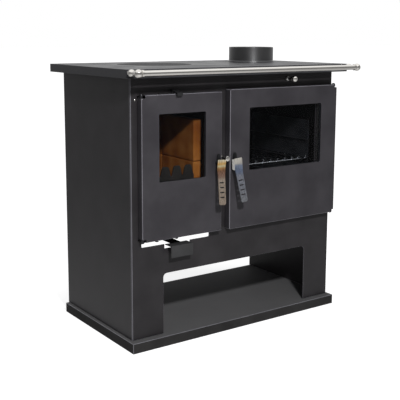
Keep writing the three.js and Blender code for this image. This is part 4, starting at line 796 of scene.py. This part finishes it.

# ---------------------------------------------------------------- handles
# Each handle is stamped from 2.5 mm sheet: a head folded over at one side, and a slotted grip.
# Nickel plated and brushed down its length; bands by height tint the fire's straw and the oven's pale blue,
# partly heat tint and partly painted highlight and reflection.


def brushed_nickel(name, tints_and_reflections):
    """Brushed nickel: fine streaks down the grip, over colour bands by height that are partly heat tint and
    partly painted highlight and reflection.
    """
    streak = 0.0012  # the real brush marks are 0.05 mm wide, drawn broader to show
    material, tree, shader, place = new_material(name)
    along = add_node(tree, "Mapping", {"Vector": place, "Scale": (1, 1, 0.04)})
    lines = add_noise(tree, along.outputs["Vector"], streak, 3.0)
    height = add_node(tree, "SeparateXYZ", {"Vector": place}).outputs["Z"]
    share = add_node(tree, "MapRange", {"Value": height, "From Min": tip_z, "From Max": head_z})
    tint_and_reflection = add_node(tree, "ValToRGB", {"Fac": share.outputs["Result"]},
                    [((z - tip_z) / (head_z - tip_z), colour) for z, colour in tints_and_reflections])
    streaks = add_node(tree, "ValToRGB", {"Fac": lines.outputs["Fac"]},
                       [(0.35, "#b4b4b4"), (0.65, "#ffffff")])
    tone = add_node(tree, "MixRGB", {"Fac": 1.0, "Color1": tint_and_reflection.outputs["Color"],
                                     "Color2": streaks.outputs["Color"]}, blend_type="MULTIPLY")
    dull = {"Value": lines.outputs["Fac"], "To Min": 0.22, "To Max": 0.42}
    bump = add_node(tree, "Bump", {"Height": lines.outputs["Fac"], "Strength": 0.12, "Distance": 0.0002})
    feed(tree, shader, {
        "Base Color": tone.outputs["Color"],
        "Metallic": 0.7,
        "Roughness": add_node(tree, "MapRange", dull).outputs["Result"],
        "Normal": bump.outputs["Normal"],
    })
    return material


fold_r, tip_z, head_z = 0.005, 0.398, 0.529
# Each band has its height, in metres; the bands are partly heat tint and partly painted highlight and
# reflection.
straw_and_reflection_bands = [(0.399, "#c2b09f"), (0.5265, "#fff6d8"), (0.515, "#f2bf6c"), (0.509, "#fff0c0"),
         (0.503, "#d8a468"), (0.495, "#a3785f"), (0.479, "#b09080"), (0.468, "#d3c2b0")]
blue_and_reflection_bands = [(0.399, "#9fa1a7"), (0.5265, "#fff9ee"), (0.512, "#e4dfd6"), (0.505, "#98a4bc"),
              (0.488, "#8592ae"), (0.474, "#a2a6b2")]
flange_depth, flange_area = 0.006, 2e-4
# Near-white paint on the flange's outer side: a painted highlight.
flange_highlight = chrome_plate("painted_highlight_nickel_flange", "#fdfbf6", 0.5, 0.2)
nickel = {"fire": brushed_nickel("straw_nickel_with_painted_reflections", straw_and_reflection_bands),
          "oven": brushed_nickel("brushed_nickel", blue_and_reflection_bands)}
for side, finish in nickel.items():
    stamping = joined(side + "_handle_plate")
    folds = []
    for edge in stamping.edges:
        flats = sorted(edge.link_faces, key=lambda f: f.normal.y)
        if len(flats) == 2 and flats[0].normal.y < -0.85 and abs(flats[1].normal.y) < 0.3:
            reach = [v.co.y for v in flats[1].verts]
            if max(reach) - min(reach) > flange_depth and edge.calc_face_angle_signed() > 1:
                folds.append(edge)
    bmesh.ops.bevel(stamping, geom=folds, offset=fold_r, segments=6, affect="EDGES", profile=0.5,
                    material=-1, clamp_overlap=True)
    round_edges(stamping, 0.0007)
    low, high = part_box(side + "_handle_shaft")
    bore = Vector(((low.x + high.x) / 2, low.y + 0.0011, low.z + (high.x - low.x) / 2))
    peened_end = [(0, 0), (0.0054, 0), (0.0054, 0.001), (0.0046, 0.0014), (0, 0.0015)]
    turned(stamping, peened_end, bore, (0, -1, 0), 32)
    # The flange's broad outer side faces take the painted highlight.
    for face in stamping.faces:
        face.material_index = 1 if abs(face.normal.x) > 0.9 and face.calc_area() > flange_area else 0
    handle = show(stamping, side + "_handle_plate.stamped", finish, side + "_handle_plate")
    handle.data.materials.append(flange_highlight)

# ---------------------------------------------------------------- hinges
# A lug on the front panel reaches into each door's cut corner, and a domed pin drops through it.
# Dark phosphated steel; beside the fire door's upper hinge a bright screw head stands on the panel.

lug_r, lug_t, pin_r, head_r, rise = 0.006, 0.005, 0.004, 0.0048, 0.0015
screw_x, screw_z, screw_r = -0.356, 0.7065, 0.003
panel_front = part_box("front_panel")[0].y
hinge_plate = chrome_plate("phosphated_steel", "#3c3c3f", 0.3)
for side in ("fire", "oven"):
    for level in ("upper", "lower"):
        node = side + "_hinge_" + level
        low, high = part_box(node)
        up = 1 if level == "upper" else -1
        pin_end = high.z if up > 0 else low.z
        lug_face = pin_end - up * (head_r + rise)
        axis = Vector(((low.x + high.x) / 2, low.y + lug_r, lug_face))
        hinge = bmesh.new()
        lug = bmesh.ops.create_cube(hinge, size=1)["verts"]
        depth = high.y - low.y
        bmesh.ops.scale(hinge, verts=lug, vec=(2 * lug_r, depth, lug_t))
        bmesh.ops.translate(hinge, verts=lug, vec=(axis.x, low.y + depth / 2, lug_face - up * lug_t / 2))
        nose = [e for e in hinge.edges if all(v.co.y < low.y + 1e-5 for v in e.verts)
                and abs(e.verts[0].co.z - e.verts[1].co.z) > 0.001]
        bmesh.ops.bevel(hinge, geom=nose, offset=lug_r - 0.0001, segments=8, affect="EDGES", profile=0.5,
                        material=-1)
        round_edges(hinge, 0.0005, 2, 60)
        reach = high.z - low.z - head_r - rise
        dome = [(lug_r * math.cos(a), rise + head_r * math.sin(a)) for a in (0, 0.3, 0.6, 0.9, 1.2)]
        pin = [(0, -reach), (pin_r, -reach), (pin_r, 0), (lug_r, 0), *dome, (0, rise + head_r)]
        turned(hinge, pin, axis, (0, 0, up), 32)
        if node == "fire_hinge_upper":
            screw = [(0, 0), (screw_r, 0), (screw_r, 0.0006), (0.002, 0.0014), (0, 0.0016)]
            turned(hinge, screw, Vector((screw_x, panel_front, screw_z)), (0, -1, 0), 24)
        piece = show(hinge, node + ".pinned", hinge_plate, node)
        piece.data.materials.append(chrome)
        for face in piece.data.polygons:
            on_screw = face.center.x < screw_x + screw_r and face.center.y > panel_front - 0.0018
            face.material_index = 1 if on_screw else 0

# ---------------------------------------------------------------- keeper stud
# A turned stud screwed into the front panel between the doors, on which both latches catch.
# Bright chrome, with a stepped foot and a rounded head.

low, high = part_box("keeper_stud")
foot, length = (high.x - low.x) / 2, high.y - low.y
stud_profile = [(0, 0), (foot, 0), (foot, 0.003), (foot - 0.001, 0.004), (0.0045, 0.004),
                (0.0045, length - 0.0035), (0.0075, length - 0.0035), (0.0075, length - 0.0012),
                (0.006, length - 0.0002), (0, length)]
stud = turned(bmesh.new(), stud_profile, back_of("keeper_stud"), (0, -1, 0), 48)
show(round_edges(stud, 0.0003, 2), "keeper_stud.turned", chrome, "keeper_stud")

# ---------------------------------------------------------------- upper air slide
# A thin slotted strip slides along the fire door's top edge; its tab bends over to the front.
# Painted black, darker and shinier than the casing.

tab_paint = sprayed_paint("blackened_slide_paint", "#161617", "#212123", 0.4, 0.5)
tab_end, tab_cut = 0.005, 0.008
strip = joined("secondary_air_slide")
tab_foot = min(v.co.z for v in strip.verts) + tab_end
bmesh.ops.translate(strip, verts=[v for v in strip.verts if v.co.z < tab_foot], vec=(0, 0, tab_cut))
show(round_edges(strip, 0.0005, 2), "secondary_air_slide.formed", tab_paint, "secondary_air_slide")

# ---------------------------------------------------------------- studio and camera
# A pale floor under one small lamp at the front left, with a dim light that is stronger from behind.
# The camera stands left of the stove's front, a little above the cooktop, as for the photograph.

floor_mesh = bmesh.new()
bmesh.ops.create_grid(floor_mesh, x_segments=1, y_segments=1, size=40)
mesh = bpy.data.meshes.new("floor")
floor_mesh.to_mesh(mesh)
floor_mesh.free()
floor = bpy.data.objects.new("floor", mesh)
bpy.context.scene.collection.objects.link(floor)

# Matt pale floor: the camera sees it as white, but for the stove's soft shadow close round it.
floor_paint, tree, shader, place = new_material("pale_studio_floor")
feed(tree, shader, {"Base Color": hex_colour("#cfcfd0"), "Roughness": 0.9, "Specular IOR Level": 0.1})
away = add_node(tree, "VectorMath", {0: place}, operation="LENGTH")
lifted = add_node(tree, "MapRange", {"Value": away.outputs["Value"], "From Min": 0.42, "From Max": 0.64,
                                     "To Min": 0.8, "To Max": 1.0})
# For reflections the floor glows, more near the stove: a painted pool of light that the stove's glossy faces
# mirror.
painted_light_pool = add_node(tree, "MapRange", {"Value": away.outputs["Value"], "From Min": 0.5, "From Max": 2.0,
                                   "To Min": 0.32, "To Max": 0.17})
rays = add_node(tree, "LightPath")
seen = add_node(tree, "Math", {0: lifted.outputs["Result"], 1: rays.outputs["Is Camera Ray"]},
                operation="MULTIPLY")
strength = add_node(tree, "Math", {0: painted_light_pool.outputs["Result"], 1: rays.outputs["Is Glossy Ray"],
                                   2: seen.outputs["Value"]}, operation="MULTIPLY_ADD")
glow = add_node(tree, "Emission", {"Color": hex_colour("#ffffff"), "Strength": strength.outputs["Value"]})
total = add_node(tree, "AddShader", {0: shader.outputs[0], 1: glow.outputs[0]})
tree.links.new(total.outputs[0], tree.nodes["Material Output"].inputs["Surface"])
mesh.materials.append(floor_paint)

world = bpy.data.worlds.new("studio")
world.use_nodes = True
tree = world.node_tree
rays = add_node(tree, "LightPath")
seen = add_node(tree, "Math", {0: rays.outputs["Is Camera Ray"], 1: rays.outputs["Is Transmission Ray"]},
                operation="MAXIMUM")
white = add_node(tree, "Background", {"Color": hex_colour("#ffffff"), "Strength": 1.0})
way = add_node(tree, "TexCoord").outputs["Generated"]
rear = (0.57, 0.82, 0)  # level, and about away from the camera
behind = add_node(tree, "VectorMath", {0: way, 1: rear}, operation="DOT_PRODUCT").outputs["Value"]
soft = add_node(tree, "MapRange", {"Value": behind, "From Min": -0.2, "From Max": 0.8,
                                   "To Min": 0.11, "To Max": 0.27})
ambient = add_node(tree, "Background", {"Color": hex_colour("#ffffff"), "Strength": soft.outputs["Result"]})
wall = add_node(tree, "MapRange", {"Value": behind, "From Min": 0.1, "From Max": 0.9,
                                   "To Min": 0.2, "To Max": 0.8})
height = add_node(tree, "SeparateXYZ", {"Vector": way})
above = add_node(tree, "MapRange", {"Value": height.outputs["Z"], "From Min": 0.3, "From Max": 0.7,
                                    "To Max": 1.2})
bright = add_node(tree, "Math", {0: wall.outputs["Result"], 1: above.outputs["Result"]}, operation="MAXIMUM")
mirrored = add_node(tree, "Background", {"Color": hex_colour("#ffffff"), "Strength": bright.outputs["Value"]})
lit = add_node(tree, "MixShader", {0: rays.outputs["Is Glossy Ray"], 1: ambient.outputs[0],
                                   2: mirrored.outputs[0]})
view = add_node(tree, "MixShader", {0: seen.outputs["Value"], 1: lit.outputs[0], 2: white.outputs[0]})
tree.links.new(view.outputs[0], tree.nodes["World Output"].inputs["Surface"])
bpy.context.scene.world = world

lamp_turn, lamp_rise = math.radians(21), math.radians(32)
lamp_far, lamp_size, lamp_aim = 2.6, 0.16, Vector((0, 0, 0.45))
lamp_way = Vector((-math.sin(lamp_turn) * math.cos(lamp_rise), -math.cos(lamp_turn) * math.cos(lamp_rise),
                   math.sin(lamp_rise)))
lamp_data = bpy.data.lights.new("key", "AREA")
lamp_data.size = lamp_size
lamp_data.energy = 7.5 * lamp_far ** 2
lamp = bpy.data.objects.new("key", lamp_data)
lamp.location = lamp_aim + lamp_way * lamp_far
lamp.rotation_euler = lamp_way.to_track_quat("Z", "Y").to_euler()
bpy.context.scene.collection.objects.link(lamp)

picture = 400  # pixels across and down
focal = 799.44  # pixels
yaw, pitch, roll = math.radians(35.087), math.radians(-9.027), math.radians(0.176)
ahead = Vector((math.sin(yaw) * math.cos(pitch), math.cos(yaw) * math.cos(pitch), math.sin(pitch)))
across = Vector((math.cos(yaw), -math.sin(yaw), 0))
right = across * math.cos(roll) + across.cross(ahead) * math.sin(roll)
camera_data = bpy.data.cameras.new("camera")
camera_data.lens = focal / picture * camera_data.sensor_width
camera_data.shift_y = -0.1
camera = bpy.data.objects.new("camera", camera_data)
camera_place = (-1.444, -2.0241, 0.8845)
turn = Matrix((right, right.cross(ahead), -ahead)).transposed()
camera.matrix_world = Matrix.Translation(camera_place) @ turn.to_4x4()
bpy.context.scene.collection.objects.link(camera)
bpy.context.scene.camera = camera
bpy.context.scene.view_settings.view_transform = "Standard"
